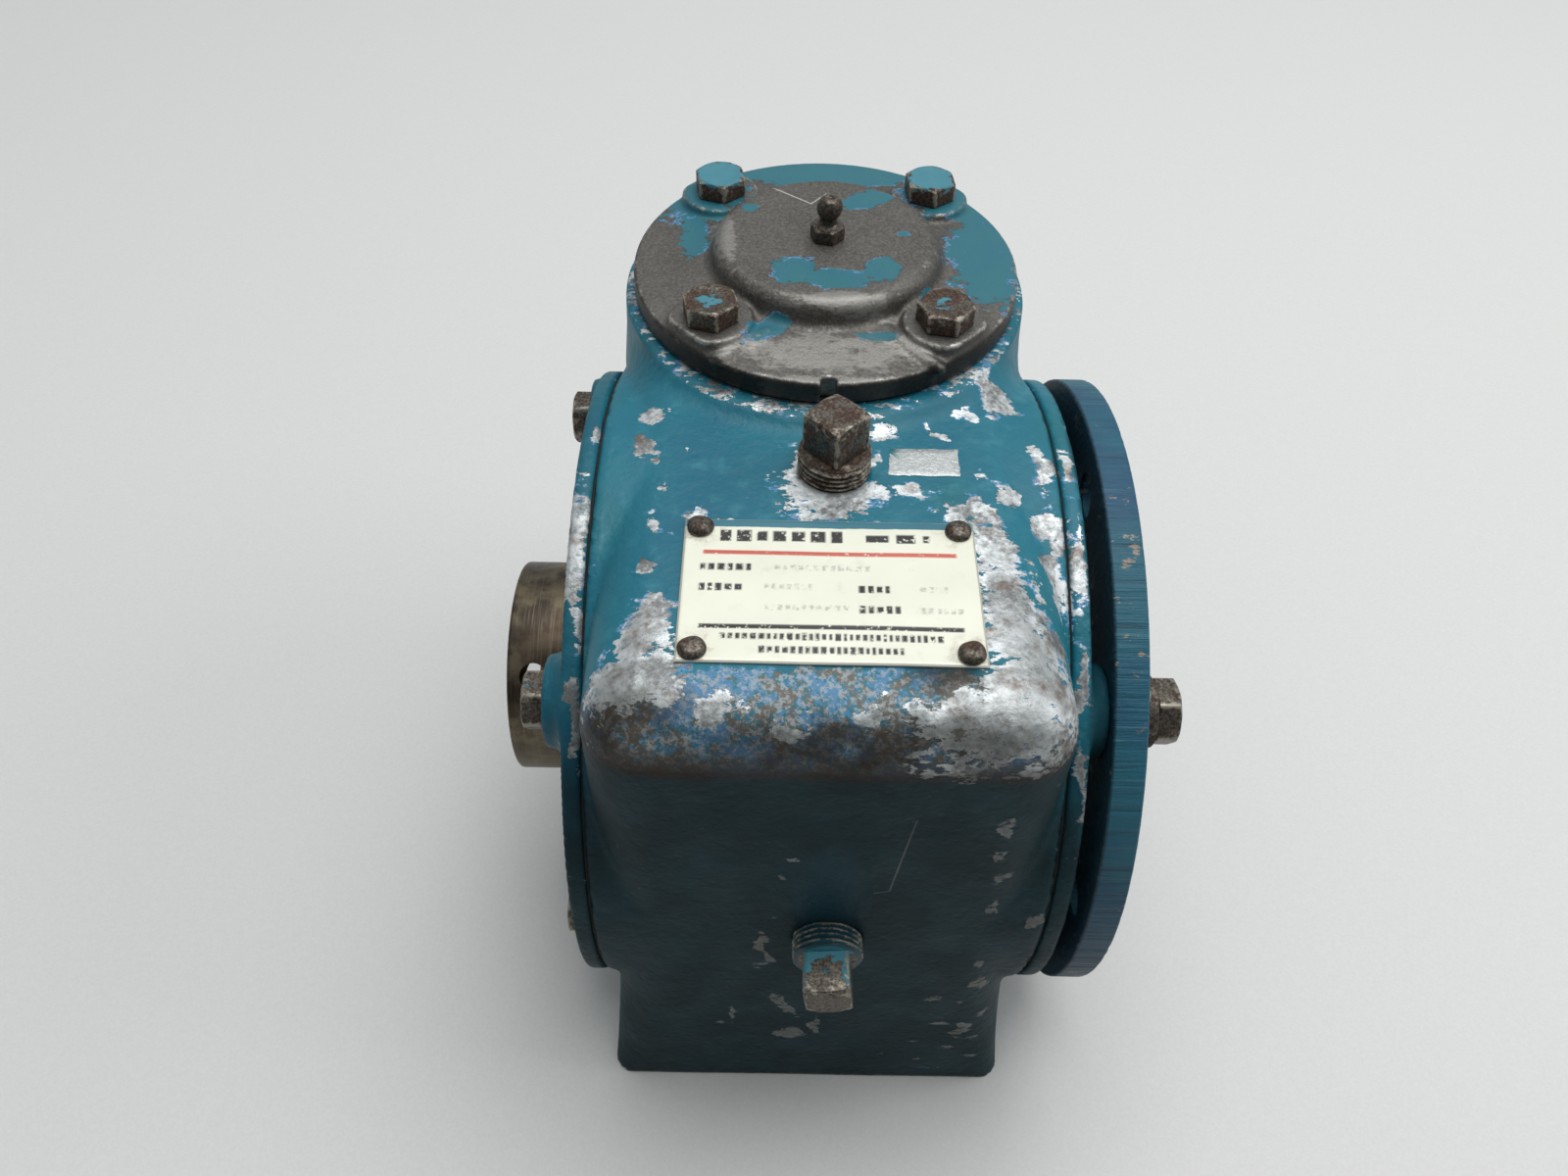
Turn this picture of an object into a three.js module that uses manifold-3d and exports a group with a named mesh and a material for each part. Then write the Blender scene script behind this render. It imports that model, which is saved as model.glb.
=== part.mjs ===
// Right-angle worm gearbox with a hollow output shaft.
// Millimetres, +Z up. The origin is on the base plane, straight below the output shaft axis.
// The output shaft runs along X, with the output flange on +X. The worm stands upright behind it, on +Y.
import * as THREE from 'three';
import { mergeVertices } from 'three/addons/utils/BufferGeometryUtils.js';
import Module from 'manifold-3d';

const wasm = await Module();
wasm.setup();

// ---------------------------------------------------------------- driving dimensions
const INCH = 25.4;
const AXIS_HEIGHT = 86; // output shaft axis above the base plane
const CENTRE_DISTANCE = 2.5 * INCH; // from the output shaft axis back to the worm axis
const RATIO = 15; // worm turns per output turn
const RUNNING_GAP = 0.3; // between turned pieces that share an axis
const FACE_GAP = 0.1; // between flat faces that rest on each other

// case
const CASE_HALF_WIDTH = 53.5; // to the machined side faces
const CASE_RADIUS = 82.5; // round side faces and side covers
const CHAMBER_RADIUS = 62; // bore that holds the cover spigots
const WALL = 9;
const TOP_HEIGHT = 83; // flat top above the axis
const FRONT_DISTANCE = 82; // flat front ahead of the axis
const SHOULDER_RADIUS = 15; // cast rounding of the front block
const BLOCK_HALF_WIDTH = 52;
const FOOT_HALF_WIDTH = 55.5;
const FOOT_FLARE_HEIGHT = 46;
const TURRET_TOP = 85.6; // machined top of the worm column, above the axis
const TURRET_RADIUS = 52.8;
const COLUMN_RADIUS = 54.6;
const BASE_HOLE_DEPTH = 10;
const WORM_BORE_RADIUS = 31.3;
const WORM_CORE_RADIUS = 43;

// side covers
const GASKET = 0.5;
const COVER_INNER = CASE_HALF_WIDTH + GASKET + 2 * FACE_GAP;
const COVER_OUTER = COVER_INNER + 4.3;
const BOSS_TOP = COVER_OUTER + 4.7;
const BOSS_RADIUS = 10;
const BOSS_ROOT_RADIUS = 12.2;
const COVER_BOLT_CIRCLE = 2.75 * INCH; // radius
const SEAL_SEAT_RADIUS = 34;
const CUP_SEAT_RADIUS = 40;
const CUP_SEAT_START = 30;
const CUP_SEAT_END = 50;

// output side
const FLANGE_RADIUS = 3.25 * INCH;
const FLANGE_BORE_RADIUS = 2 * INCH;
const FLANGE_INNER = BOSS_TOP + FACE_GAP;
const FLANGE_OUTER = FLANGE_INNER + 8;
const FLANGE_TAPPED_CIRCLE = 2.75 * INCH; // radius of the free mounting holes
const SPACER_LENGTH = 3.4;
const SPACER_RADIUS = 8.4;
const SHAFT_RADIUS = 25;
const SHAFT_BORE_RADIUS = (1.4375 * INCH) / 2;
const SHAFT_START = -81.3;
const SHAFT_END = 61;
const SHAFT_KEYWAY_WIDTH = 0.375 * INCH;
const COLLAR_RADIUS = 29;
const COLLAR_START = -81.5;
const COLLAR_END = -60.2;
const SET_SCREW_X = -74.5;
const SET_SCREW_RADIUS = 3.6;

// worm cap
const CAP_RADIUS = 50.4;
const CAP_BOTTOM = TURRET_TOP + GASKET + 2 * FACE_GAP;
const CAP_RIM_TOP = 92.2;
const CAP_PAD_TOP = 95.4;
const CAP_BOSS_TOP = 100;
const CAP_POCKET_TOP = 94.5;
const CAP_BOLT_OFFSET = 28.8; // each way from the worm axis
const CAP_PAD_RADIUS = 10.5;

// gear pair
const WHEEL_TEETH = 30;
const WORM_STARTS = WHEEL_TEETH / RATIO;
const WORM_PITCH_RADIUS = 19;
const WHEEL_PITCH_RADIUS = CENTRE_DISTANCE - WORM_PITCH_RADIUS;
const MODULE = (2 * WHEEL_PITCH_RADIUS) / WHEEL_TEETH;
const AXIAL_PITCH = Math.PI * MODULE;
const LEAD = WORM_STARTS * AXIAL_PITCH;
const PRESSURE_SLOPE = Math.tan(THREE.MathUtils.degToRad(20));
const BACKLASH = 0.3; // taken from each half tooth
const WORM_ROOT_RADIUS = 15.5;
const WORM_TIP_RADIUS = 22;
const WHEEL_HALF_WIDTH = 14;
const WHEEL_RIM_HALF_WIDTH = 9;
const WHEEL_SEAT_RADIUS = 27;
const WHEEL_KEY_WIDTH = 8;

// worm shaft bearings and seal, heights measured from the output axis
const LOWER_BEARING_BOTTOM = -70;
const LOWER_BEARING_TOP = -54;
const UPPER_BEARING_BOTTOM = 78;
const UPPER_BEARING_TOP = 93;
const LOWER_SEAT_RADIUS = 17.5;
const UPPER_SEAT_RADIUS = 12.5;
const UPPER_CUP_RADIUS = 26;
const QUILL_BOTTOM = -83;
const QUILL_BORE_RADIUS = (0.625 * INCH) / 2;
const QUILL_BORE_TOP = -22;
const QUILL_KEYWAY_WIDTH = 0.1875 * INCH;
const SNAP_RING_THICKNESS = 1.6;

// fasteners: half of 5/16 and 3/8 inch shanks, hexagon sizes across flats
const SMALL_BOLT = { shank: 3.9, acrossFlats: 0.5 * INCH, head: 5.2 };
const LARGE_BOLT = { shank: 4.7, acrossFlats: 0.5625 * INCH, head: 5.4 };
const HOLE_ALLOWANCE = 0.4;
const BOLT_END = 45; // cover bolts reach in to this X
const PLUG = { radius: 8.5, root: 7.8, pitch: 1.41, square: 0.4375 * INCH, height: 10.3 };
const FILLER_X = 1.4;
const FILLER_Y = -6;
const LEVEL_X = 2.4;
const PLATE_HALF_LENGTH = 32;
const PLATE_HALF_HEIGHT = 20.3;
const PLATE_THICKNESS = 0.8;
const PLATE_Y = -44.2;
const RIVET_OFFSET = [28.5, 17.3];
const RIVET_RADIUS = 3;

// facets round a full turn
const LARGE_FACETS = 40;
const MEDIUM_FACETS = 28;
const SMALL_FACETS = 16;
const HOLE_FACETS = 8;
const BEARING_FACETS = 24;
const BOLT_FACETS = 12;

const QUARTER = Math.PI / 2;

// ---------------------------------------------------------------- materials
const PAINT = { color: 0x2d6a7f, roughness: 0.45, metalness: 0.0 };
const BARE_IRON = { color: 0x6f6a64, roughness: 0.55, metalness: 0.8 };
const DARK_STEEL = { color: 0x4a3f38, roughness: 0.5, metalness: 0.85 };
const RUSTY_STEEL = { color: 0x5c4336, roughness: 0.65, metalness: 0.7 };
const GROUND_STEEL = { color: 0xa9a9a6, roughness: 0.3, metalness: 1.0 };
const BRONZE = { color: 0xb58a4a, roughness: 0.35, metalness: 1.0 };
const RUBBER = { color: 0x1c1c1e, roughness: 0.8, metalness: 0.0 };
const GASKET_FIBRE = { color: 0x17191b, roughness: 0.9, metalness: 0.0 };
const PLATE_ENAMEL = { color: 0xdcd8c4, roughness: 0.4, metalness: 0.2 };

// ---------------------------------------------------------------- solids
function toSolid(geometry) {
  const bare = new THREE.BufferGeometry();
  bare.setAttribute('position', geometry.getAttribute('position'));
  bare.setIndex(geometry.index);
  const merged = mergeVertices(bare);
  const corners = merged.index.array;
  const triangles = [];
  for (let i = 0; i < corners.length; i += 3) {
    const [a, b, c] = corners.slice(i, i + 3);
    const collapsed = a === b || b === c || c === a;
    if (!collapsed) triangles.push(a, b, c);
  }
  return new wasm.Manifold(new wasm.Mesh({
    numProp: 3,
    vertProperties: new Float32Array(merged.getAttribute('position').array),
    triVerts: new Uint32Array(triangles),
  }));
}

function toGeometry(solid) {
  const mesh = solid.getMesh();
  const geometry = new THREE.BufferGeometry();
  geometry.setAttribute('position', new THREE.BufferAttribute(mesh.vertProperties, 3));
  geometry.setIndex(new THREE.BufferAttribute(mesh.triVerts, 1));
  return geometry;
}

function join(...geometries) {
  return toGeometry(geometries.map(toSolid).reduce((whole, piece) => whole.add(piece)));
}

function cut(geometry, ...tools) {
  return toGeometry([geometry, ...tools].map(toSolid).reduce((whole, tool) => whole.subtract(tool)));
}

function keep(geometry, region) {
  return toGeometry(toSolid(geometry).intersect(toSolid(region)));
}

// A solid of revolution about Z. The profile lists [radius, height], anticlockwise with radius to the right.
function turned(profile, facets = MEDIUM_FACETS, phase = 0) {
  const points = profile.map(([radius, height]) => new THREE.Vector2(radius, height));
  if (points[0].x > 0) points.push(points[0].clone());
  return new THREE.LatheGeometry(points, facets, phase).rotateX(QUARTER);
}

function rod(radius, from, to, facets = MEDIUM_FACETS) {
  return turned([[0, from], [radius, from], [radius, to], [0, to]], facets);
}

function ring(inner, outer, from, to, facets = MEDIUM_FACETS) {
  return turned([[inner, from], [outer, from], [outer, to], [inner, to]], facets);
}

function block(xFrom, xTo, yFrom, yTo, zFrom, zTo) {
  return new THREE.BoxGeometry(xTo - xFrom, yTo - yFrom, zTo - zFrom)
    .translate((xFrom + xTo) / 2, (yFrom + yTo) / 2, (zFrom + zTo) / 2);
}

// A prism along Z with `sides` flats, given by its width across flats.
function prism(sides, acrossFlats, from, to, phase = 0) {
  const corner = acrossFlats / 2 / Math.cos(Math.PI / sides);
  return turned([[0, from], [corner, from], [corner, to], [0, to]], sides, phase);
}

// Joins rings of points, each anticlockwise seen from above and star-shaped about its centre, from low to high.
function loft(rings) {
  const count = rings[0].length;
  const positions = rings.flat().flatMap((point) => point.toArray());
  const triangles = [];
  for (let level = 0; level + 1 < rings.length; level += 1) {
    for (let i = 0; i < count; i += 1) {
      const a = level * count + i;
      const b = level * count + ((i + 1) % count);
      triangles.push(a, b, b + count, a, b + count, a + count);
    }
  }
  const capRing = (points, first, upward) => {
    const centre = positions.length / 3;
    const middle = points.reduce((sum, point) => sum.add(point), new THREE.Vector3()).divideScalar(count);
    positions.push(...middle.toArray());
    for (let i = 0; i < count; i += 1) {
      const next = first + ((i + 1) % count);
      triangles.push(centre, ...(upward ? [first + i, next] : [next, first + i]));
    }
  };
  capRing(rings[0], 0, false);
  capRing(rings[rings.length - 1], (rings.length - 1) * count, true);
  const geometry = new THREE.BufferGeometry();
  geometry.setAttribute('position', new THREE.BufferAttribute(new Float32Array(positions), 3));
  geometry.setIndex(triangles);
  return geometry;
}

// ---------------------------------------------------------------- placing
// Turns a shape built about Z so that its axis is the output shaft's, local +Z to +X.
function onOutputAxis(geometry) {
  return geometry.rotateY(QUARTER).translate(0, 0, AXIS_HEIGHT);
}

// The same, for the left side of the case: local +Z to -X.
function onOutputAxisLeft(geometry) {
  return geometry.rotateY(-QUARTER).translate(0, 0, AXIS_HEIGHT);
}

function onWormAxis(geometry) {
  return geometry.translate(0, CENTRE_DISTANCE, AXIS_HEIGHT);
}

// The four places at 45 degrees on a circle about Z, in order round it.
function diagonalPlaces(radius) {
  return [1, 3, 5, 7].map((eighth) => {
    const angle = (eighth * Math.PI) / 4;
    return [radius * Math.cos(angle), radius * Math.sin(angle)];
  });
}

function atPlaces(places, build) {
  return places.map(([x, y]) => build().translate(x, y, 0));
}

const coverBoltPlaces = diagonalPlaces(COVER_BOLT_CIRCLE);
const capBoltPlaces = diagonalPlaces(CAP_BOLT_OFFSET * Math.SQRT2);
const baseHolePlaces = [[-40, -62], [40, -62], [31, 95], [-31, 95]];
const rivetPlaces = [[-1, -1], [1, -1], [1, 1], [-1, 1]].map(
  ([x, y]) => [x * RIVET_OFFSET[0], PLATE_Y + y * RIVET_OFFSET[1]],
);

// ---------------------------------------------------------------- case
function roundedRectangle(xFrom, xTo, yFrom, yTo, radius) {
  const shape = new THREE.Shape();
  shape.moveTo(xFrom + radius, yFrom);
  shape.absarc(xTo - radius, yFrom + radius, radius, -QUARTER, 0);
  shape.absarc(xTo - radius, yTo - radius, radius, 0, QUARTER);
  shape.absarc(xFrom + radius, yTo - radius, radius, QUARTER, 2 * QUARTER);
  shape.absarc(xFrom + radius, yFrom + radius, radius, 2 * QUARTER, 3 * QUARTER);
  return shape;
}

// The block with the flat front and top: its side outline is drawn as (Y, Z) and runs along X.
function frontBlock() {
  const bottom = -AXIS_HEIGHT - 2 * SHOULDER_RADIUS;
  const outline = roundedRectangle(-FRONT_DISTANCE, CENTRE_DISTANCE, bottom, TOP_HEIGHT, SHOULDER_RADIUS);
  const straight = 2 * (BLOCK_HALF_WIDTH - SHOULDER_RADIUS);
  const geometry = new THREE.ExtrudeGeometry(outline, {
    depth: straight,
    curveSegments: 4,
    bevelThickness: SHOULDER_RADIUS,
    bevelSize: SHOULDER_RADIUS - 0.5,
    bevelOffset: -(SHOULDER_RADIUS - 0.5),
    bevelSegments: 3,
  }).translate(0, 0, -straight / 2);
  const turn = new THREE.Matrix4().makeBasis(
    new THREE.Vector3(0, 1, 0), new THREE.Vector3(0, 0, 1), new THREE.Vector3(1, 0, 0),
  );
  return geometry.applyMatrix4(turn).translate(0, 0, AXIS_HEIGHT);
}

// One level of the foot: rounded corners at the front, and a half circle round the worm axis at the back.
function footOutline(halfWidth) {
  const corner = SHOULDER_RADIUS - 3;
  const front = corner - FRONT_DISTANCE;
  const shape = new THREE.Shape();
  shape.moveTo(corner - halfWidth, -FRONT_DISTANCE);
  shape.absarc(halfWidth - corner, front, corner, -QUARTER, 0);
  shape.absarc(0, CENTRE_DISTANCE, halfWidth, 0, QUARTER);
  shape.absarc(0, CENTRE_DISTANCE, halfWidth, QUARTER, 2 * QUARTER);
  shape.absarc(corner - halfWidth, front, corner, 2 * QUARTER, 3 * QUARTER);
  return shape;
}

// The foot widens towards the base plane.
function foot() {
  const levels = 4;
  const rings = [];
  for (let level = 0; level <= levels; level += 1) {
    const height = (FOOT_FLARE_HEIGHT * level) / levels;
    const flare = (FOOT_HALF_WIDTH - BLOCK_HALF_WIDTH) * (1 - level / levels) ** 1.4;
    const outline = footOutline(BLOCK_HALF_WIDTH + flare).getPoints(3).slice(0, -1);
    rings.push(outline.map((point) => new THREE.Vector3(point.x, point.y, height)));
  }
  return loft(rings);
}

function wormColumn() {
  const profile = [
    [0, 1 - AXIS_HEIGHT],
    [COLUMN_RADIUS, 1 - AXIS_HEIGHT],
    [COLUMN_RADIUS, 62],
    [TURRET_RADIUS + 0.6, 76],
    [TURRET_RADIUS, TURRET_TOP],
    [0, TURRET_TOP],
  ];
  return onWormAxis(turned(profile, LARGE_FACETS));
}

function caseCavities() {
  const chamber = onOutputAxis(rod(CHAMBER_RADIUS, -2 * CASE_HALF_WIDTH, 2 * CASE_HALF_WIDTH, LARGE_FACETS));
  const half = BLOCK_HALF_WIDTH - WALL;
  const sump = block(
    -half, half,
    WALL - FRONT_DISTANCE, WALL,
    1.5 * WALL, AXIS_HEIGHT + TOP_HEIGHT - WALL,
  );
  const core = onWormAxis(rod(WORM_CORE_RADIUS, -42, 62));
  const wormBore = onWormAxis(rod(WORM_BORE_RADIUS, -2 * AXIS_HEIGHT, 2 * AXIS_HEIGHT));
  const grooveHeight = LOWER_BEARING_BOTTOM - SNAP_RING_THICKNESS - 2 * FACE_GAP;
  const groove = onWormAxis(rod(WORM_BORE_RADIUS + 2, grooveHeight, LOWER_BEARING_BOTTOM));
  return [chamber, sump, core, wormBore, groove];
}

function caseHoles() {
  const coverHole = SMALL_BOLT.shank + HOLE_ALLOWANCE;
  const flangeHole = LARGE_BOLT.shank + HOLE_ALLOWANCE;
  const deep = BOLT_END - 1;
  const left = atPlaces(coverBoltPlaces, () => rod(coverHole, deep, 60, HOLE_FACETS)).map(onOutputAxisLeft);
  const right = atPlaces(coverBoltPlaces, () => rod(flangeHole, deep, 60, HOLE_FACETS)).map(onOutputAxis);
  const cap = atPlaces(capBoltPlaces, () => rod(coverHole, 66, 90, HOLE_FACETS)).map(onWormAxis);
  const plugHole = PLUG.radius + HOLE_ALLOWANCE;
  const filler = rod(plugHole, 0, 2 * WALL, SMALL_FACETS)
    .translate(FILLER_X, FILLER_Y, AXIS_HEIGHT + TOP_HEIGHT - WALL - 1);
  const level = rod(plugHole, -WALL - 1, WALL, SMALL_FACETS).rotateX(QUARTER)
    .translate(LEVEL_X, -FRONT_DISTANCE, AXIS_HEIGHT);
  const rivetTop = AXIS_HEIGHT + TOP_HEIGHT;
  const rivets = atPlaces(rivetPlaces, () => rod(1.9, rivetTop - 6.5, rivetTop + 1, 8));
  return [...left, ...right, ...cap, filler, level, ...rivets];
}

// Four blind tapped holes in the base plane.
function baseHoles() {
  return atPlaces(baseHolePlaces, () => rod(LARGE_BOLT.shank, -1, BASE_HOLE_DEPTH, HOLE_FACETS));
}

// The machined side faces, cut back where the foot and the worm column stand wider than the case.
function coverReliefs() {
  const relief = () => rod(CASE_RADIUS + 0.7, CASE_HALF_WIDTH, 2 * CASE_HALF_WIDTH, LARGE_FACETS);
  return [onOutputAxis(relief()), onOutputAxisLeft(relief())];
}

function housing() {
  const drum = onOutputAxis(rod(CASE_RADIUS, -CASE_HALF_WIDTH, CASE_HALF_WIDTH, LARGE_FACETS));
  const body = join(drum, frontBlock(), foot(), wormColumn());
  const reach = 4 * AXIS_HEIGHT;
  const aboveBase = keep(body, block(-reach, reach, -reach, reach, 0, reach));
  return cut(aboveBase, ...coverReliefs(), ...caseCavities(), ...caseHoles(), ...baseHoles());
}

// ---------------------------------------------------------------- side covers
function coverGasket() {
  const inner = CASE_HALF_WIDTH + FACE_GAP;
  const sheet = ring(CHAMBER_RADIUS + 0.5, CASE_RADIUS - 1, inner, inner + GASKET, LARGE_FACETS);
  const hole = LARGE_BOLT.shank + HOLE_ALLOWANCE;
  return cut(sheet, ...atPlaces(coverBoltPlaces, () => rod(hole, inner - 1, inner + 2, HOLE_FACETS)));
}

function coverBoss() {
  return turned([
    [0, COVER_INNER + 2],
    [BOSS_ROOT_RADIUS, COVER_INNER + 2],
    [BOSS_ROOT_RADIUS, COVER_OUTER],
    [BOSS_RADIUS, COVER_OUTER + 2],
    [BOSS_RADIUS, BOSS_TOP],
    [0, BOSS_TOP],
  ], SMALL_FACETS);
}

// One cover about Z, with the bearing seat, the seal seat and the spigot that enters the case.
function sideCover(boltRadius) {
  const spigotRadius = CHAMBER_RADIUS - RUNNING_GAP - 0.1;
  const hubRadius = CUP_SEAT_RADIUS + 6;
  const web = COVER_INNER - 2.5;
  const plate = turned([
    [CUP_SEAT_RADIUS + RUNNING_GAP, CUP_SEAT_START],
    [hubRadius, CUP_SEAT_START],
    [hubRadius, web],
    [spigotRadius - 6, web],
    [spigotRadius - 6, web - 5],
    [spigotRadius, web - 5],
    [spigotRadius, COVER_INNER],
    [CASE_RADIUS, COVER_INNER],
    [CASE_RADIUS, COVER_OUTER - 1],
    [CASE_RADIUS - 1, COVER_OUTER],
    [SEAL_SEAT_RADIUS + RUNNING_GAP, COVER_OUTER],
    [SEAL_SEAT_RADIUS + RUNNING_GAP, CUP_SEAT_END + RUNNING_GAP],
    [CUP_SEAT_RADIUS + RUNNING_GAP, CUP_SEAT_END + RUNNING_GAP],
  ], LARGE_FACETS);
  const bosses = atPlaces(coverBoltPlaces, coverBoss);
  const holes = atPlaces(coverBoltPlaces, () => rod(boltRadius + HOLE_ALLOWANCE, 40, 2 * BOSS_TOP, HOLE_FACETS));
  return cut(join(plate, ...bosses), ...holes);
}

// ---------------------------------------------------------------- fasteners
// A hexagon head bolt along Z: the head's underside is at `seat`, and the shank runs down to `end`.
function hexBolt({ shank, acrossFlats, head }, seat, end, phase = 0) {
  const top = seat + head;
  const corner = acrossFlats / Math.sqrt(3);
  const hexagon = prism(6, acrossFlats, seat, top, phase);
  const crown = turned([
    [0, seat],
    [corner * 1.05, seat],
    [corner * 1.05, top - 1.2],
    [acrossFlats / 2, top],
    [0, top],
  ], BOLT_FACETS, phase);
  return join(keep(hexagon, crown), rod(shank, end, seat + 1, HOLE_FACETS));
}

function coverBolt(place) {
  return hexBolt(SMALL_BOLT, BOSS_TOP + FACE_GAP, BOLT_END).translate(place[0], place[1], 0);
}

function flangeBolt(place) {
  const seat = FLANGE_OUTER + SPACER_LENGTH + 2 * FACE_GAP;
  return hexBolt(LARGE_BOLT, seat, BOLT_END).translate(place[0], place[1], 0);
}

function flangeSpacer(place) {
  const from = FLANGE_OUTER + FACE_GAP;
  const to = from + SPACER_LENGTH;
  const hole = LARGE_BOLT.shank + HOLE_ALLOWANCE;
  return turned([
    [hole, from], [SPACER_RADIUS, from], [SPACER_RADIUS, to - 0.8],
    [SPACER_RADIUS - 0.8, to], [hole, to],
  ], BOLT_FACETS).translate(place[0], place[1], 0);
}

function capBolt(place, index) {
  const phase = [0.12, 0.19, 0.23, 0.36][index];
  return hexBolt(SMALL_BOLT, CAP_PAD_TOP + FACE_GAP, 68, phase).translate(place[0], place[1], 0);
}

function rivet(place) {
  const seat = AXIS_HEIGHT + TOP_HEIGHT + PLATE_THICKNESS + 2 * FACE_GAP;
  return turned([
    [0, seat - 6], [1.5, seat - 6], [1.5, seat], [RIVET_RADIUS, seat],
    [RIVET_RADIUS - 0.6, seat + 1.4], [0, seat + 2.1],
  ], HOLE_FACETS).translate(place[0], place[1], 0);
}

// A square-headed pipe plug along Z. `exposed` is the length of thread outside the wall face at height 0.
function pipePlug(exposed, phase) {
  const profile = [[0, -8], [PLUG.root, -8], [PLUG.root, 0]];
  const ridges = Math.floor(exposed / PLUG.pitch);
  for (let ridge = 0; ridge < ridges; ridge += 1) {
    const base = ridge * PLUG.pitch;
    profile.push([PLUG.root, base + 0.1 * PLUG.pitch]);
    profile.push([PLUG.radius, base + 0.6 * PLUG.pitch]);
  }
  profile.push([PLUG.root, exposed], [0, exposed]);
  const top = exposed + PLUG.height;
  const corner = (PLUG.square / 2) * Math.SQRT2;
  const crown = turned([
    [0, exposed - 1], [corner + 0.2, exposed - 1], [corner + 0.2, top - 1.6],
    [corner - 1.1, top], [0, top],
  ], SMALL_FACETS);
  const head = keep(prism(4, PLUG.square, exposed - 1, top, phase), crown);
  return join(turned(profile, SMALL_FACETS), head);
}

function fillerPlug() {
  return pipePlug(6.5, 0).translate(FILLER_X, FILLER_Y, AXIS_HEIGHT + TOP_HEIGHT);
}

function levelPlug() {
  return pipePlug(6.3, Math.PI / 4 + 0.12).rotateX(QUARTER)
    .translate(LEVEL_X, -FRONT_DISTANCE, AXIS_HEIGHT);
}

function nameplate() {
  const bottom = AXIS_HEIGHT + TOP_HEIGHT + FACE_GAP;
  const outline = roundedRectangle(
    -PLATE_HALF_LENGTH, PLATE_HALF_LENGTH, PLATE_Y - PLATE_HALF_HEIGHT, PLATE_Y + PLATE_HALF_HEIGHT, 1,
  );
  const sheet = new THREE.ExtrudeGeometry(outline, {
    depth: PLATE_THICKNESS, bevelEnabled: false, curveSegments: 2,
  }).translate(0, 0, bottom);
  return cut(sheet, ...atPlaces(rivetPlaces, () => rod(1.9, bottom - 1, bottom + 2, 8)));
}

// ---------------------------------------------------------------- output flange and shaft
function outputFlange() {
  const plate = turned([
    [FLANGE_BORE_RADIUS, FLANGE_INNER], [FLANGE_RADIUS - 0.8, FLANGE_INNER],
    [FLANGE_RADIUS, FLANGE_INNER + 0.8], [FLANGE_RADIUS, FLANGE_OUTER - 0.8],
    [FLANGE_RADIUS - 0.8, FLANGE_OUTER], [FLANGE_BORE_RADIUS, FLANGE_OUTER],
  ], LARGE_FACETS);
  const hole = LARGE_BOLT.shank + HOLE_ALLOWANCE;
  const through = () => rod(hole, FLANGE_INNER - 1, FLANGE_OUTER + 1, HOLE_FACETS);
  const tapped = [0, 1, 2, 3].map((quarter) => through()
    .translate(FLANGE_TAPPED_CIRCLE, 0, 0).rotateZ(quarter * QUARTER));
  return cut(plate, ...atPlaces(coverBoltPlaces, through), ...tapped);
}

// The open set screw hole runs square to the shaft, up and to the front.
function setScrewHole() {
  return rod(SET_SCREW_RADIUS, SHAFT_BORE_RADIUS - 3, 2 * COLLAR_RADIUS, SMALL_FACETS)
    .rotateX(Math.PI / 4).translate(SET_SCREW_X, 0, AXIS_HEIGHT);
}

function outputShaft() {
  const tube = onOutputAxis(turned([
    [SHAFT_BORE_RADIUS, SHAFT_START], [SHAFT_RADIUS - 1, SHAFT_START], [SHAFT_RADIUS, SHAFT_START + 1],
    [SHAFT_RADIUS, -30], [WHEEL_SEAT_RADIUS, -30], [WHEEL_SEAT_RADIUS, 14.4],
    [WHEEL_SEAT_RADIUS + 3, 14.4], [WHEEL_SEAT_RADIUS + 3, 30], [SHAFT_RADIUS, 30],
    [SHAFT_RADIUS, SHAFT_END - 1], [SHAFT_RADIUS - 1, SHAFT_END], [SHAFT_BORE_RADIUS, SHAFT_END],
  ], MEDIUM_FACETS));
  const half = SHAFT_KEYWAY_WIDTH / 2;
  const keyway = block(
    SHAFT_START - 1, SHAFT_END + 1, -half, half, AXIS_HEIGHT - SHAFT_BORE_RADIUS - 3, AXIS_HEIGHT - 10,
  );
  return cut(tube, keyway, wheelKeySlot(0.2), setScrewHole());
}

function shaftCollar() {
  const inner = SHAFT_RADIUS + RUNNING_GAP;
  const band = onOutputAxis(turned([
    [inner, COLLAR_START], [COLLAR_RADIUS - 0.8, COLLAR_START], [COLLAR_RADIUS, COLLAR_START + 0.8],
    [COLLAR_RADIUS, COLLAR_END - 0.8], [COLLAR_RADIUS - 0.8, COLLAR_END], [inner, COLLAR_END],
  ], LARGE_FACETS));
  return cut(band, setScrewHole());
}

// The slot for the wheel key, on top of the shaft, grown by `gap` all round.
function wheelKeySlot(gap) {
  const half = WHEEL_KEY_WIDTH / 2 + gap;
  const length = WHEEL_HALF_WIDTH - 2 + gap;
  const low = AXIS_HEIGHT + WHEEL_SEAT_RADIUS - 3.5 - gap;
  return block(-length, length, -half, half, low, low + 7 + 2 * gap);
}

function outputSeal() {
  const lip = SHAFT_RADIUS + RUNNING_GAP;
  const inner = CUP_SEAT_END + 2 * RUNNING_GAP;
  return turned([
    [lip + 2, inner], [SEAL_SEAT_RADIUS, inner], [SEAL_SEAT_RADIUS, COVER_OUTER - 0.3],
    [lip + 1.5, COVER_OUTER - 0.3], [lip, COVER_OUTER - 2],
  ]);
}

// ---------------------------------------------------------------- bearings
// Tapered roller bearing about Z. The wide end of the rollers is at `wide`, the narrow end at `narrow`.
function bearingCup(outer, race, narrow, wide) {
  const profile = [[race - 1.6, narrow], [outer, narrow], [outer, wide], [race + 1.6, wide]];
  return turned(wide > narrow ? profile : profile.reverse(), BEARING_FACETS);
}

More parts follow.
